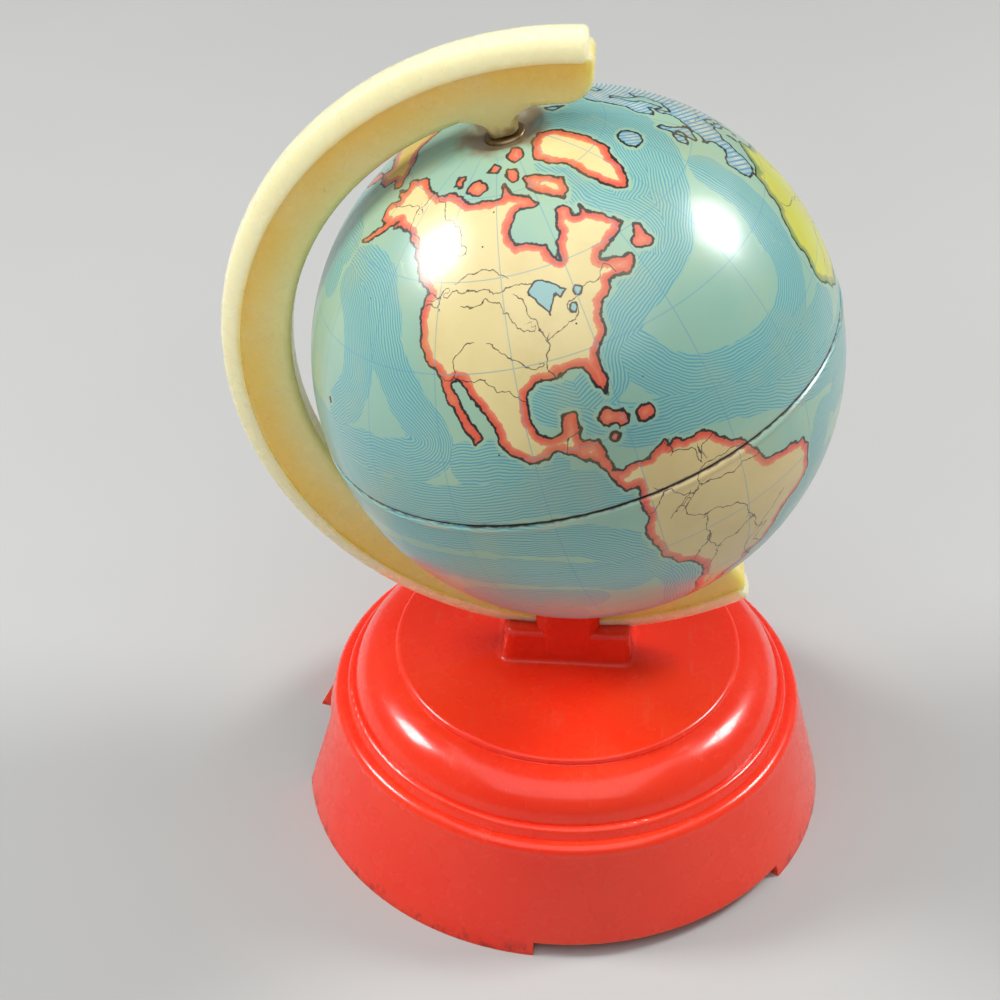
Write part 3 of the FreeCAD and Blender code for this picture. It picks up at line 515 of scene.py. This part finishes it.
def print_map(mesh):
    """Store how far each vertex is from coast, lakes, ink and currents, and its region's colours."""
    spots = [vertex.co.normalized() for vertex in mesh.vertices]
    points = np.array([tuple(spot) for spot in spots])

    def shore(outlines, edges):
        away, _, owner = nearest(spots, edges)
        for index, outline in enumerate(outlines):
            held = within(points, outline)
            away[held] = -np.abs(away[held])
            owner[held] = index
        return -away, owner

    coast, owner = shore(coasts, shores)
    store(mesh, "coast", coast)
    store(mesh, "lake", shore(lakes, lakes)[0])
    for name, lines in zip(("ink",) + STREAM_LAYERS, [ink_lines] + streams):
        away, left, _ = nearest(spots, lines)
        store(mesh, name, left)
        store(mesh, name + "_reach", away)
    land, band, hatched = region_tints(points, owner)
    store(mesh, "land_tint", land, "FLOAT_COLOR", "color")
    store(mesh, "band_tint", band, "FLOAT_COLOR", "color")
    store(mesh, "hatched", hatched)
    store(mesh, "globe_place", [vertex.co / MM for vertex in mesh.vertices], "FLOAT_VECTOR", "vector")


# Shaders

# The mix node's sockets for colours, and the middle value of noise
MIX_PAINT = 6
MIX_INK = 7
MIX_RESULT = 2
NOISE_MIDDLE = 0.5

# Scratches: how thin they are drawn out, and the patches that they lie in, in scratch sizes
SCRATCH_THIN = 0.02
SCRATCH_PATCH = 5


class Shader:
    """A material's nodes, with short names for the kinds used here. Its texture space is in millimetres."""

    def __init__(self, name, stored_place=None):
        self.material = bpy.data.materials.new(name)
        self.material.use_nodes = True
        self.tree = self.material.node_tree
        self.tree.nodes.clear()
        self.surface = self.node("ShaderNodeBsdfPrincipled")
        self.node("ShaderNodeOutputMaterial", {"Surface": self.surface.outputs[0]})
        if stored_place:
            self.place = self.stored(stored_place, "Vector")
            return
        place = self.node("ShaderNodeTexCoord").outputs["Object"]
        scaled = self.node("ShaderNodeVectorMath", {0: place, "Scale": 1 / MM}, operation="SCALE")
        self.place = scaled.outputs[0]

    def node(self, kind, inputs=(), **settings):
        """A new node with these settings, and with values or links for inputs by name or number."""
        made = self.tree.nodes.new(kind)
        for key, value in settings.items():
            setattr(made, key, value)
        for key, value in dict(inputs).items():
            self.put(made.inputs[key], value)
        return made

    def put(self, socket, value):
        if isinstance(value, bpy.types.NodeSocket):
            self.tree.links.new(value, socket)
        else:
            socket.default_value = value

    def set(self, **values):
        """Values or links for the surface's sockets, with _ for each space in a name."""
        for name, value in values.items():
            self.put(self.surface.inputs[name.replace("_", " ")], value)

    def math(self, operation, *values):
        return self.node("ShaderNodeMath", enumerate(values), operation=operation).outputs[0]

    def times(self, *factors):
        product = factors[0]
        for factor in factors[1:]:
            product = self.math("MULTIPLY", product, factor)
        return product

    def off(self, value, middle):
        """How far a value is from the middle, either way."""
        return self.math("ABSOLUTE", self.math("SUBTRACT", value, middle))

    def fold(self, value, step):
        """How far a value is from the nearest whole number of steps."""
        return self.math("PINGPONG", value, step / 2)

    def over(self, paint, ink, *factors, share=1):
        """The paint with an ink over it, as strong as its share and all the factors multiplied."""
        values = {"Factor": self.times(*factors, share), MIX_PAINT: paint, MIX_INK: ink}
        return self.node("ShaderNodeMix", values, data_type="RGBA").outputs[MIX_RESULT]

    def ease(self, value, low, high, start=0, end=1):
        """Goes smoothly from start, where value is low, to end, where it is high."""
        values = enumerate((value, low, high, start, end))
        return self.node("ShaderNodeMapRange", values, interpolation_type="SMOOTHSTEP").outputs[0]

    def noise(self, size, detail=2, place=None):
        """Noise of about this size in millimetres, 0 to 1."""
        values = {"Vector": place or self.place, "Scale": 1 / size, "Detail": detail}
        return self.node("ShaderNodeTexNoise", values).outputs["Fac"]

    def patches(self, size, low=0.3, high=0.7, start=0, end=1, detail=4):
        """Soft patches of about this size in millimetres, where noise is high."""
        return self.ease(self.noise(size, detail), low, high, start, end)

    def wander(self, value, size, reach, detail=3):
        """The value pushed to and fro by noise of this size, over the reach in all."""
        push = self.math("SUBTRACT", self.noise(size, detail), NOISE_MIDDLE)
        return self.math("MULTIPLY_ADD", push, reach, value)

    def line(self, value, half_width, soft):
        """1 where the value is near zero, as on a printed line with soft edges."""
        return self.ease(self.math("ABSOLUTE", value), half_width + soft, half_width - soft)

    def specks(self, spacing, outside, inside):
        """Round specks at scattered points, with their edges as shares of the spacing."""
        made = self.node("ShaderNodeTexVoronoi", {"Vector": self.place, "Scale": 1 / spacing})
        return self.ease(made.outputs["Distance"], outside, inside)

    def stretched(self, x, y, z, turn=(0, 0, 0)):
        """Texture space drawn out along some axes, for brushing and scratches, with its turn in radians."""
        values = {"Vector": self.place, "Rotation": turn, "Scale": (x, y, z)}
        return self.node("ShaderNodeMapping", values).outputs[0]

    def scratches(self, size, width, turn):
        """Thin straight scratches in one direction, 0 to 1."""
        streak = self.noise(size, 0, self.stretched(1, SCRATCH_THIN, 1, turn))
        patch = self.patches(SCRATCH_PATCH * size, low=0.54, high=0.66, detail=1)
        return self.times(self.ease(self.off(streak, NOISE_MIDDLE), width, 0), patch)

    def parts(self):
        return self.node("ShaderNodeSeparateXYZ", {0: self.place}).outputs

    def stored(self, name, output="Fac"):
        return self.node("ShaderNodeAttribute", attribute_name=name).outputs[output]

    def relief(self, height, depth):
        """Bump of that depth in millimetres from a height of 0 to 1."""
        made = self.node("ShaderNodeBump", {"Distance": depth * MM, "Height": height})
        self.set(Normal=made.outputs[0])


# The printed tin: colours of its inks and of its age, with painted shade along the seam and a painted
# highlight on the bead
SEA_PALE = colour(156, 190, 162)
SEA_GREEN = colour(140, 182, 164)
CURRENT_WASH = colour(122, 182, 178)
CURRENT_INK = colour(72, 152, 170)
BAND_FADED = colour(246, 190, 150)
HATCH_INK = colour(84, 150, 180)
LAND_STAIN = colour(196, 164, 100)
RIVER_INK = colour(58, 46, 38)
LAKE_WATER = colour(146, 190, 188)
LAKE_INK = colour(44, 42, 44)
GRID_INK = colour(88, 152, 178)
COAST_INK = colour(38, 30, 30)
OLD_VARNISH = colour(190, 178, 120)
FLY_SPECK = colour(60, 42, 32)
SEAM_GRIME_AND_SHADE = colour(52, 38, 30)
POLE_TARNISH = colour(132, 96, 60)
BARE_TIN_AND_HIGHLIGHT = colour(204, 196, 166)

# Half the width of its lines, and how soft their edges are
COAST_LINE = 0.15
LAKE_LINE = 0.1
INK_LINE = 0.045
GRID_LINE = 0.06
SOFT_EDGE = 0.05
FINE_EDGE = 0.04

# Its coastal bands, lines of the currents and hatching
BAND = 0.95
BAND_EDGE = 0.06
BAND_FADES_FROM = 0.3
STREAM_EDGE = 0.12
SEA_LINE_STEP = 0.36
HATCH_STEP = 1.5
HATCH_SLOPE = 0.6

# Where each starts and where it is full, in millimetres from a coast or line, or in degrees
SHORE = (-0.03, 0.03)
OFFSHORE = (-0.35, -0.7)
RIVER_REACH = (0.6, 0.4)
SEA_LINE = (0.115, 0.045)
STREAMS_MEET = (0.1, 0.02)
HATCH_LINE = (0.36, 0.2)
MERIDIANS_END = (80, 78)

# Grime and painted shade along the seam, the worn bead below it, also painted pale as a highlight, and the
# tarnish round the poles, from none to full
SEAM_DARK_HEIGHT = 0.05
SEAM_DARK_SPREAD = (0.34, 0.16)
BEAD_MIDDLE = -0.6
RUBBED_AND_HIGHLIGHT = (0.34, 0.06)
TARNISH = (9.5, 6.5)
TARNISH_RAGGED = 6


def printed_sea(s, coast):
    """Pale sea, with the currents on it as bundles of fine lines clear of the coasts."""
    reaches = [s.wander(s.stored(layer + "_reach"), size=6, reach=2.4) for layer in STREAM_LAYERS]
    closest = s.math("MINIMUM", s.math("MINIMUM", reaches[0], reaches[1]), reaches[2])
    streaming = s.line(closest, STREAM_HALF_WIDTH, STREAM_EDGE)
    lines = 0
    for layer, reach in zip(STREAM_LAYERS, reaches):
        across = s.wander(s.wander(s.stored(layer), size=7, reach=2.2), size=2, reach=0.1)
        line = s.ease(s.fold(across, SEA_LINE_STEP), *SEA_LINE)
        nearest_layer = s.ease(s.math("SUBTRACT", reach, closest), *STREAMS_MEET)
        lines = s.math("MAXIMUM", lines, s.times(line, nearest_layer))
    offshore = s.ease(coast, *OFFSHORE)
    sea = s.over(SEA_PALE, SEA_GREEN, s.patches(size=16, low=0.35, high=0.65, detail=3))
    sea = s.over(sea, CURRENT_WASH, streaming, offshore, share=0.3)
    return s.over(sea, CURRENT_INK, lines, streaming, offshore, share=0.88)


def printed_land(s, coast, longitude, latitude):
    """Land with a band along its coast, hatching, stains, rivers, borders and lakes."""
    fading = s.ease(coast, BAND_FADES_FROM, BAND, end=0.3)
    rim = s.over(s.stored("band_tint", "Color"), BAND_FADED, fading)
    band = s.line(s.wander(coast, size=1.6, reach=0.45), BAND, BAND_EDGE)
    land = s.over(s.stored("land_tint", "Color"), rim, band)
    slanted = s.math("MULTIPLY_ADD", longitude, HATCH_SLOPE, latitude)
    hatch = s.ease(s.fold(slanted, HATCH_STEP), *HATCH_LINE)
    land = s.over(land, HATCH_INK, hatch, s.stored("hatched"))
    stains = s.patches(size=5, low=0.42, high=0.7)
    land = s.over(land, LAND_STAIN, stains, share=0.2)
    ink = s.line(s.wander(s.stored("ink"), size=0.8, reach=0.5), INK_LINE, FINE_EDGE)
    land = s.over(land, RIVER_INK, ink, s.ease(s.stored("ink_reach"), *RIVER_REACH))
    lake = s.wander(s.stored("lake"), size=0.8, reach=0.35)
    land = s.over(land, LAKE_WATER, s.ease(lake, *SHORE))
    return s.over(land, LAKE_INK, s.line(lake, LAKE_LINE, FINE_EDGE))


def printed_grid(s, longitude, latitude, ring):
    """Meridians and parallels, 0 to 1."""
    around = s.fold(s.math("SUBTRACT", longitude, FIRST_MERIDIAN), MERIDIAN_STEP)
    meridians = s.line(s.times(around, ring, DEGREE), GRID_LINE, SOFT_EDGE)
    from_equator = s.math("ABSOLUTE", latitude)
    meridians = s.times(meridians, s.ease(from_equator, *MERIDIANS_END))
    above = s.fold(s.math("SUBTRACT", from_equator, FIRST_PARALLEL), PARALLEL_STEP)
    parallels = s.line(s.times(above, DEGREE * RADIUS), GRID_LINE, SOFT_EDGE)
    return s.math("MAXIMUM", meridians, parallels)


def aged(s, paint, z, ring):
    """The paint under yellowed varnish, with fly specks, dirt and painted shade in the seam and tarnish round
    the poles.
    """
    yellowed = s.patches(size=9, low=0.45, high=0.75, detail=5)
    paint = s.over(paint, OLD_VARNISH, yellowed, share=0.22)
    specked = s.patches(size=7, low=0.56, high=0.62, detail=2)
    specks = s.specks(spacing=2.6, outside=0.055, inside=0.035)
    paint = s.over(paint, FLY_SPECK, specks, specked)
    # Painted shade with dirt: a dark band along the seam, for the shadow in the gap between the halves.
    seam = s.wander(z, size=1.3, reach=0.5, detail=4)
    grime_and_shade = s.ease(s.off(seam, SEAM_DARK_HEIGHT), *SEAM_DARK_SPREAD)
    paint = s.over(paint, SEAM_GRIME_AND_SHADE, grime_and_shade, share=0.9)
    ragged = s.math("ADD", ring, s.times(s.noise(size=2.5, detail=4), TARNISH_RAGGED))
    return s.over(paint, POLE_TARNISH, s.ease(ragged, *TARNISH), share=0.8)


def worn_bare_and_highlight(s, z):
    """Where the print is gone: worn off along the bead, which is also painted pale there as a highlight on
    its crest, and in fine scratches.
    """
    # Painted highlight with wear: a pale band along the bead's crest, worn through to the tin.
    on_bead = s.ease(s.off(z, BEAD_MIDDLE), *RUBBED_AND_HIGHLIGHT)
    rubbed_and_highlight = s.times(on_bead, s.patches(size=5, low=0.4, high=0.75), 0.7)
    scratched = s.scratches(size=1.6, width=0.006, turn=(0.4, 0.9, 0.3))
    return s.math("MAXIMUM", rubbed_and_highlight, s.times(scratched, 0.35))


def printed_tin():
    """Lithographed tin: the map under a gloss varnish, worn along the seam and round the poles, with painted
    shade in the seam and a painted highlight along the bead.
    """
    s = Shader("printed_tin", "globe_place")
    x, y, z = s.parts()
    latitude = s.math("DEGREES", s.math("ARCSINE", s.math("DIVIDE", z, RADIUS)))
    longitude = s.math("SUBTRACT", s.math("DEGREES", s.math("ARCTAN2", y, x)), PRINT_TURN)
    ring = s.math("SQRT", s.math("ADD", s.times(x, x), s.times(y, y)))
    coast = s.wander(s.wander(s.stored("coast"), size=1.2, reach=0.75), size=0.5, reach=0.3)

    land = printed_land(s, coast, longitude, latitude)
    paint = s.over(printed_sea(s, coast), land, s.ease(coast, *SHORE))
    paint = s.over(paint, GRID_INK, printed_grid(s, longitude, latitude, ring), share=0.6)
    paint = s.over(paint, COAST_INK, s.line(coast, COAST_LINE, SOFT_EDGE))
    paint = aged(s, paint, z, ring)
    bare_and_highlight = worn_bare_and_highlight(s, z)
    roughness = s.patches(size=4, start=0.3, end=0.4)
    s.set(Base_Color=s.over(paint, BARE_TIN_AND_HIGHLIGHT, bare_and_highlight), Metallic=s.times(bare_and_highlight, 0.85), Roughness=roughness,
          Coat_Weight=0.6, Coat_Roughness=0.2)
    grain = s.times(s.noise(size=0.9), 0.7)
    varnish = s.times(s.math("SUBTRACT", 1, bare_and_highlight), 0.6)
    s.relief(s.math("ADD", grain, varnish), depth=0.012)
    return s.material


# The arm's plastic: its tones, with painted shade turning the web golden towards the flange and painted light
# making the flange paler, and how far from the globe's centre one goes over into the next
WEB_PALE = colour(252, 232, 158)
WEB_GOLDEN_SHADE = colour(252, 216, 104)
FLANGE_LIT_CREAM = colour(249, 238, 194)
ARM_CLOUD = colour(250, 236, 184)
ARM_STAIN = colour(190, 146, 76)
ARM_SCRATCH = colour(186, 150, 92)
PIN_GRIME = colour(128, 84, 44)
TO_GOLDEN_SHADE = (36, 40.6)
TO_LIT_FLANGE = (41.2, 42.2)
TO_GRIME = (34.6, 33.2)
GRIME_RAGGED = 2.4


def ivory_plastic():
    """The arm: cream plastic, browned at the pins, with stains and handling marks, and painted light and
    shade: golden on its web towards the flange as if shaded, paler on the flange as if lit.
    """
    s = Shader("ivory_plastic")
    centre = frame["nodes"]["meridian_arm"].matrix_world.inverted() @ GLOBE_CENTRE
    x, _, z = s.parts()
    aside = s.math("POWER", s.math("SUBTRACT", x, centre.x / MM), 2)
    above = s.math("POWER", s.math("SUBTRACT", z, centre.z / MM), 2)
    reach = s.math("SQRT", s.math("ADD", aside, above))
    wavy = s.math("ADD", s.noise(size=6), reach)
    # Painted light and shade: the web turns golden towards the flange as if shaded under it, and the flange
    # turns paler cream as if lit.
    shade = s.over(WEB_PALE, WEB_GOLDEN_SHADE, s.ease(wavy, *TO_GOLDEN_SHADE))
    shade = s.over(shade, FLANGE_LIT_CREAM, s.ease(wavy, *TO_LIT_FLANGE))
    cloud = s.ease(s.noise(size=9, detail=3, place=s.stretched(1, 0.6, 1)), 0.45, 0.7)
    shade = s.over(shade, ARM_CLOUD, cloud, share=0.25)
    stain = s.patches(size=2.2, low=0.66, high=0.82, detail=5)
    shade = s.over(shade, ARM_STAIN, stain, share=0.14)
    ragged = s.math("MULTIPLY_ADD", s.noise(size=1.4, detail=4), GRIME_RAGGED, reach)
    shade = s.over(shade, PIN_GRIME, s.ease(ragged, *TO_GRIME), share=0.75)
    marks = s.math("MAXIMUM", s.scratches(size=0.9, width=0.02, turn=(0, 0.7, 0.2)),
                   s.scratches(size=1.2, width=0.016, turn=(0.6, 0.1, 1.1)))
    shade = s.over(shade, ARM_SCRATCH, marks, share=0.25)
    roughness = s.patches(size=2.5, start=0.2, end=0.32)
    s.set(Base_Color=shade, Roughness=roughness, Coat_Weight=0.4, Coat_Roughness=0.12,
          Subsurface_Weight=0.8, Subsurface_Radius=(1, 0.85, 0.5), Subsurface_Scale=3.6 * MM)
    s.relief(s.math("ADD", s.noise(size=3), s.times(marks, -0.2)), depth=0.02)
    return s.material


# The base's plastic: its marks, and the height up to which it is darker in patches towards its bottom edge
RED_SCRATCH = colour(240, 130, 100)
RED_DUST = colour(232, 150, 124)
RED_DARK_LOW = colour(120, 24, 18)
DARK_LOW_HEIGHT = (2.4, 0.4)


def red_plastic(name, deep, bright, gloss):
    """Glossy moulded plastic with faint flow marks, dust, handling scratches and dark patches towards its
    bottom edge.
    """
    s = Shader(name)
    z = s.parts()[2]
    shade = s.over(deep, bright, s.patches(size=22, detail=2))
    marks = s.math("MAXIMUM", s.scratches(size=1, width=0.02, turn=(0.2, 0.1, 0.6)),
                   s.scratches(size=1.3, width=0.016, turn=(0.9, 0.3, 2)))
    shade = s.over(shade, RED_SCRATCH, marks, share=0.2)
    dusty = s.patches(size=6, low=0.52, high=0.64, detail=2)
    specks = s.specks(spacing=1.1, outside=0.1, inside=0.04)
    shade = s.over(shade, RED_DUST, specks, dusty, share=0.3)
    # Darker in patches towards the bottom edge.
    low_patches = s.patches(size=1.6, low=0.5, high=0.62)
    shade = s.over(shade, RED_DARK_LOW, s.ease(z, *DARK_LOW_HEIGHT), low_patches, share=0.5)
    roughness = s.patches(size=3.5, start=gloss, end=gloss + 0.08, detail=2)
    s.set(Base_Color=shade, Roughness=roughness, Specular_IOR_Level=0.35, Coat_Weight=0.35,
          Coat_Roughness=0.1, Subsurface_Weight=0.5, Subsurface_Radius=(1, 0.25, 0.12),
          Subsurface_Scale=3 * MM)
    s.relief(s.math("ADD", s.noise(size=5, detail=1), s.times(marks, -0.2)), depth=0.012)
    return s.material


def worked_metal(name, pale, dark, roughness, grain):
    """Metal with tarnish and a grain, which may be drawn out along an axis."""
    s = Shader(name)
    streak = s.noise(size=0.5, detail=3, place=s.stretched(*grain))
    tarnish = s.patches(size=1.2, low=0.5, high=0.75, detail=5)
    shade = s.over(s.over(dark, pale, streak), dark, tarnish, share=0.5)
    s.set(Base_Color=shade, Metallic=1, Roughness=s.ease(streak, 0.3, 0.7, roughness, roughness + 0.18))
    s.relief(streak, depth=0.02)
    return s.material


# Pieces

def add(name, data):
    made = bpy.data.objects.new(name, data)
    bpy.context.scene.collection.objects.link(made)
    return made


def half_profile(roll, bead):
    """Half section of a tin half as (radius, height): rim, outside up to the dished pole, and back inside."""
    points = []
    start = math.asin((SEAM_HALF_GAP + RIM_HEIGHT) / RADIUS)
    top = math.acos(DISH_RADIUS / RADIUS)
    steps = int((top - start) * RADIUS / RING_STEP)
    shares = [(index / RIM_RINGS) ** RIM_CROWDING for index in range(RIM_RINGS)]
    heights = [SEAM_HALF_GAP + RIM_HEIGHT * share for share in shares]
    heights += [RADIUS * math.sin(start + (top - start) * index / steps) for index in range(steps)]
    for height in heights:
        above = height - SEAM_HALF_GAP
        inwards = max(0, 1 - above / ROLL_HEIGHT)
        drop = roll * (1 - math.sqrt(1 - inwards ** 2))
        swell = bead * math.sin(math.pi * min(1, above / BEAD_HEIGHT)) ** 2
        points.append((math.sqrt(RADIUS ** 2 - height ** 2) - drop + swell, height))
    dish_edge = math.sqrt(RADIUS ** 2 - DISH_RADIUS ** 2)
    for index in range(DISH_RINGS + 1):
        along = index / DISH_RINGS
        eased = along * along * (3 - 2 * along)
        points.append((DISH_RADIUS + (DISH_FLOOR_RADIUS - DISH_RADIUS) * along,
                       dish_edge + (DISH_FLOOR - dish_edge) * eased))
    under = DISH_FLOOR - TIN
    points += [(POLE_HOLE, DISH_FLOOR), (POLE_HOLE, under), (DISH_FLOOR_RADIUS, under)]
    inside = RADIUS - TIN
    for index in range(INSIDE_RINGS):
        angle = math.acos(DISH_RADIUS / inside) * (1 - index / INSIDE_RINGS)
        points.append((inside * math.cos(angle), inside * math.sin(angle)))
    points.append((inside - roll, SEAM_HALF_GAP))
    return points


def tin_half(name, node, side, roll, bead, material):
    """A printed tin half about the globe's polar axis; side is 1 for the north and -1 for the south."""
    profile = half_profile(roll, bead)
    turns = [math.tau * column / COLUMNS for column in range(COLUMNS)]
    vertices = [(radius * MM * math.cos(turn), radius * MM * math.sin(turn), side * height * MM)
                for radius, height in profile for turn in turns]
    faces = []
    for ring in range(len(profile)):
        here = ring * COLUMNS
        there = (ring + 1) % len(profile) * COLUMNS
        for column in range(COLUMNS):
            beside = (column + 1) % COLUMNS
            face = [here + column, here + beside, there + beside, there + column]
            faces.append(face if side > 0 else face[::-1])
    mesh = bpy.data.meshes.new(name)
    mesh.from_pydata(vertices, [], faces)
    mesh.shade_smooth()
    print_map(mesh)
    mesh.transform(GLOBE_PLACE)
    piece = add(name, mesh)
    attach(piece, "globe")
    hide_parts(node)
    mesh.materials.append(material)


def dress(node, material):
    mesh = frame["nodes"][node].data
    mesh.materials.clear()
    mesh.materials.append(material)


tin = printed_tin()
tin_half("printed_north", "globe_north_shell", 1, NORTH_ROLL, 0, tin)
tin_half("printed_south", "globe_south_shell", -1, SOUTH_ROLL, BEAD, tin)

dress("base_shell", red_plastic("red_plastic", colour(250, 48, 20), colour(255, 60, 28), gloss=0.22))
dress("bottom_lid", red_plastic("lid_plastic", colour(196, 32, 22), colour(222, 48, 30), gloss=0.34))
dress("meridian_arm", ivory_plastic())

# Metals: the pieces of each, its pale and dark colours, its least roughness and its grain's scale
METALS = {
    "eyelet_metal": (("north_eyelet", "south_eyelet"), (182, 160, 122), (92, 72, 52), 0.3, (1, 1, 1)),
    "sharpener_alloy": (("sharpener_body",), (186, 188, 190), (120, 122, 126), 0.36, (0.15, 1, 1)),
    "blade_steel": (("sharpener_blade",), (204, 208, 212), (120, 124, 130), 0.2, (1, 0.1, 1)),
    "screw_steel": (("blade_screw",), (176, 176, 174), (98, 94, 88), 0.3, (1, 1, 1)),
}
for name, (nodes, pale, dark, roughness, grain) in METALS.items():
    metal = worked_metal(name, colour(*pale), colour(*dark), roughness, grain)
    for node in nodes:
        dress(node, metal)

# Floor, light and camera, in metres, watts and degrees

FLOOR_WIDTH = 3
FLOOR_DARK = colour(176, 176, 174)
FLOOR_PALE = colour(182, 182, 180)

# Each lamp's name, direction from the globe, width and power
LAMP_DISTANCE = 0.62
LAMPS = [
    ("window_left", (-0.806, 0.069, 0.587), 0.18, 2.9),
    ("window_right", (0.713, 0.292, 0.638), 0.17, 2.6),
    ("soft_top", (0, -0.4, 1), 0.8, 2.9),
]
SKY_COLOUR = (0.92, 0.95, 1, 1)
SKY_STRENGTH = 0.22

# The photograph's viewpoint: its place, how far it looks down and aside, its roll and its lens
CAMERA_PLACE = (0.004243, -0.240491, 0.239482)
CAMERA_DOWN = 38.653
CAMERA_ASIDE = -3.226
CAMERA_ROLL = 0.611
SENSOR_MM = 36
LENS_MM = 86.4
CLIP_START = 0.01


def floor():
    mesh = bpy.data.meshes.new("floor")
    half = FLOOR_WIDTH / 2
    corners = [(-half, -half, 0), (half, -half, 0), (half, half, 0), (-half, half, 0)]
    mesh.from_pydata(corners, [], [(0, 1, 2, 3)])
    s = Shader("floor")
    s.set(Base_Color=s.over(FLOOR_DARK, FLOOR_PALE, s.noise(size=60, detail=3)), Roughness=0.75)
    mesh.materials.append(s.material)
    made = add("floor", mesh)


def lamp(name, direction, width, power):
    data = bpy.data.lights.new(name, "AREA")
    data.size = width
    data.energy = power
    made = add(name, data)
    towards = Vector(direction).normalized()
    made.location = GLOBE_CENTRE + towards * LAMP_DISTANCE
    made.rotation_euler = towards.to_track_quat("Z", "Y").to_euler()


def sky():
    world = bpy.data.worlds.new("studio")
    world.use_nodes = True
    background = world.node_tree.nodes["Background"]
    background.inputs["Color"].default_value = SKY_COLOUR
    background.inputs["Strength"].default_value = SKY_STRENGTH
    bpy.context.scene.world = world


def camera():
    data = bpy.data.cameras.new("camera")
    data.sensor_width = SENSOR_MM
    data.lens = LENS_MM
    data.clip_start = CLIP_START
    made = add("camera", data)
    aside = Matrix.Rotation(-math.radians(CAMERA_ASIDE), 4, "Z")
    down = Matrix.Rotation(math.pi / 2 - math.radians(CAMERA_DOWN), 4, "X")
    roll = Matrix.Rotation(math.radians(CAMERA_ROLL), 4, "Z")
    made.matrix_world = Matrix.Translation(CAMERA_PLACE) @ (aside @ down @ roll)
    bpy.context.scene.camera = made


floor()
for values in LAMPS:
    lamp(*values)
camera()
sky()
bpy.context.scene.view_settings.view_transform = "Standard"
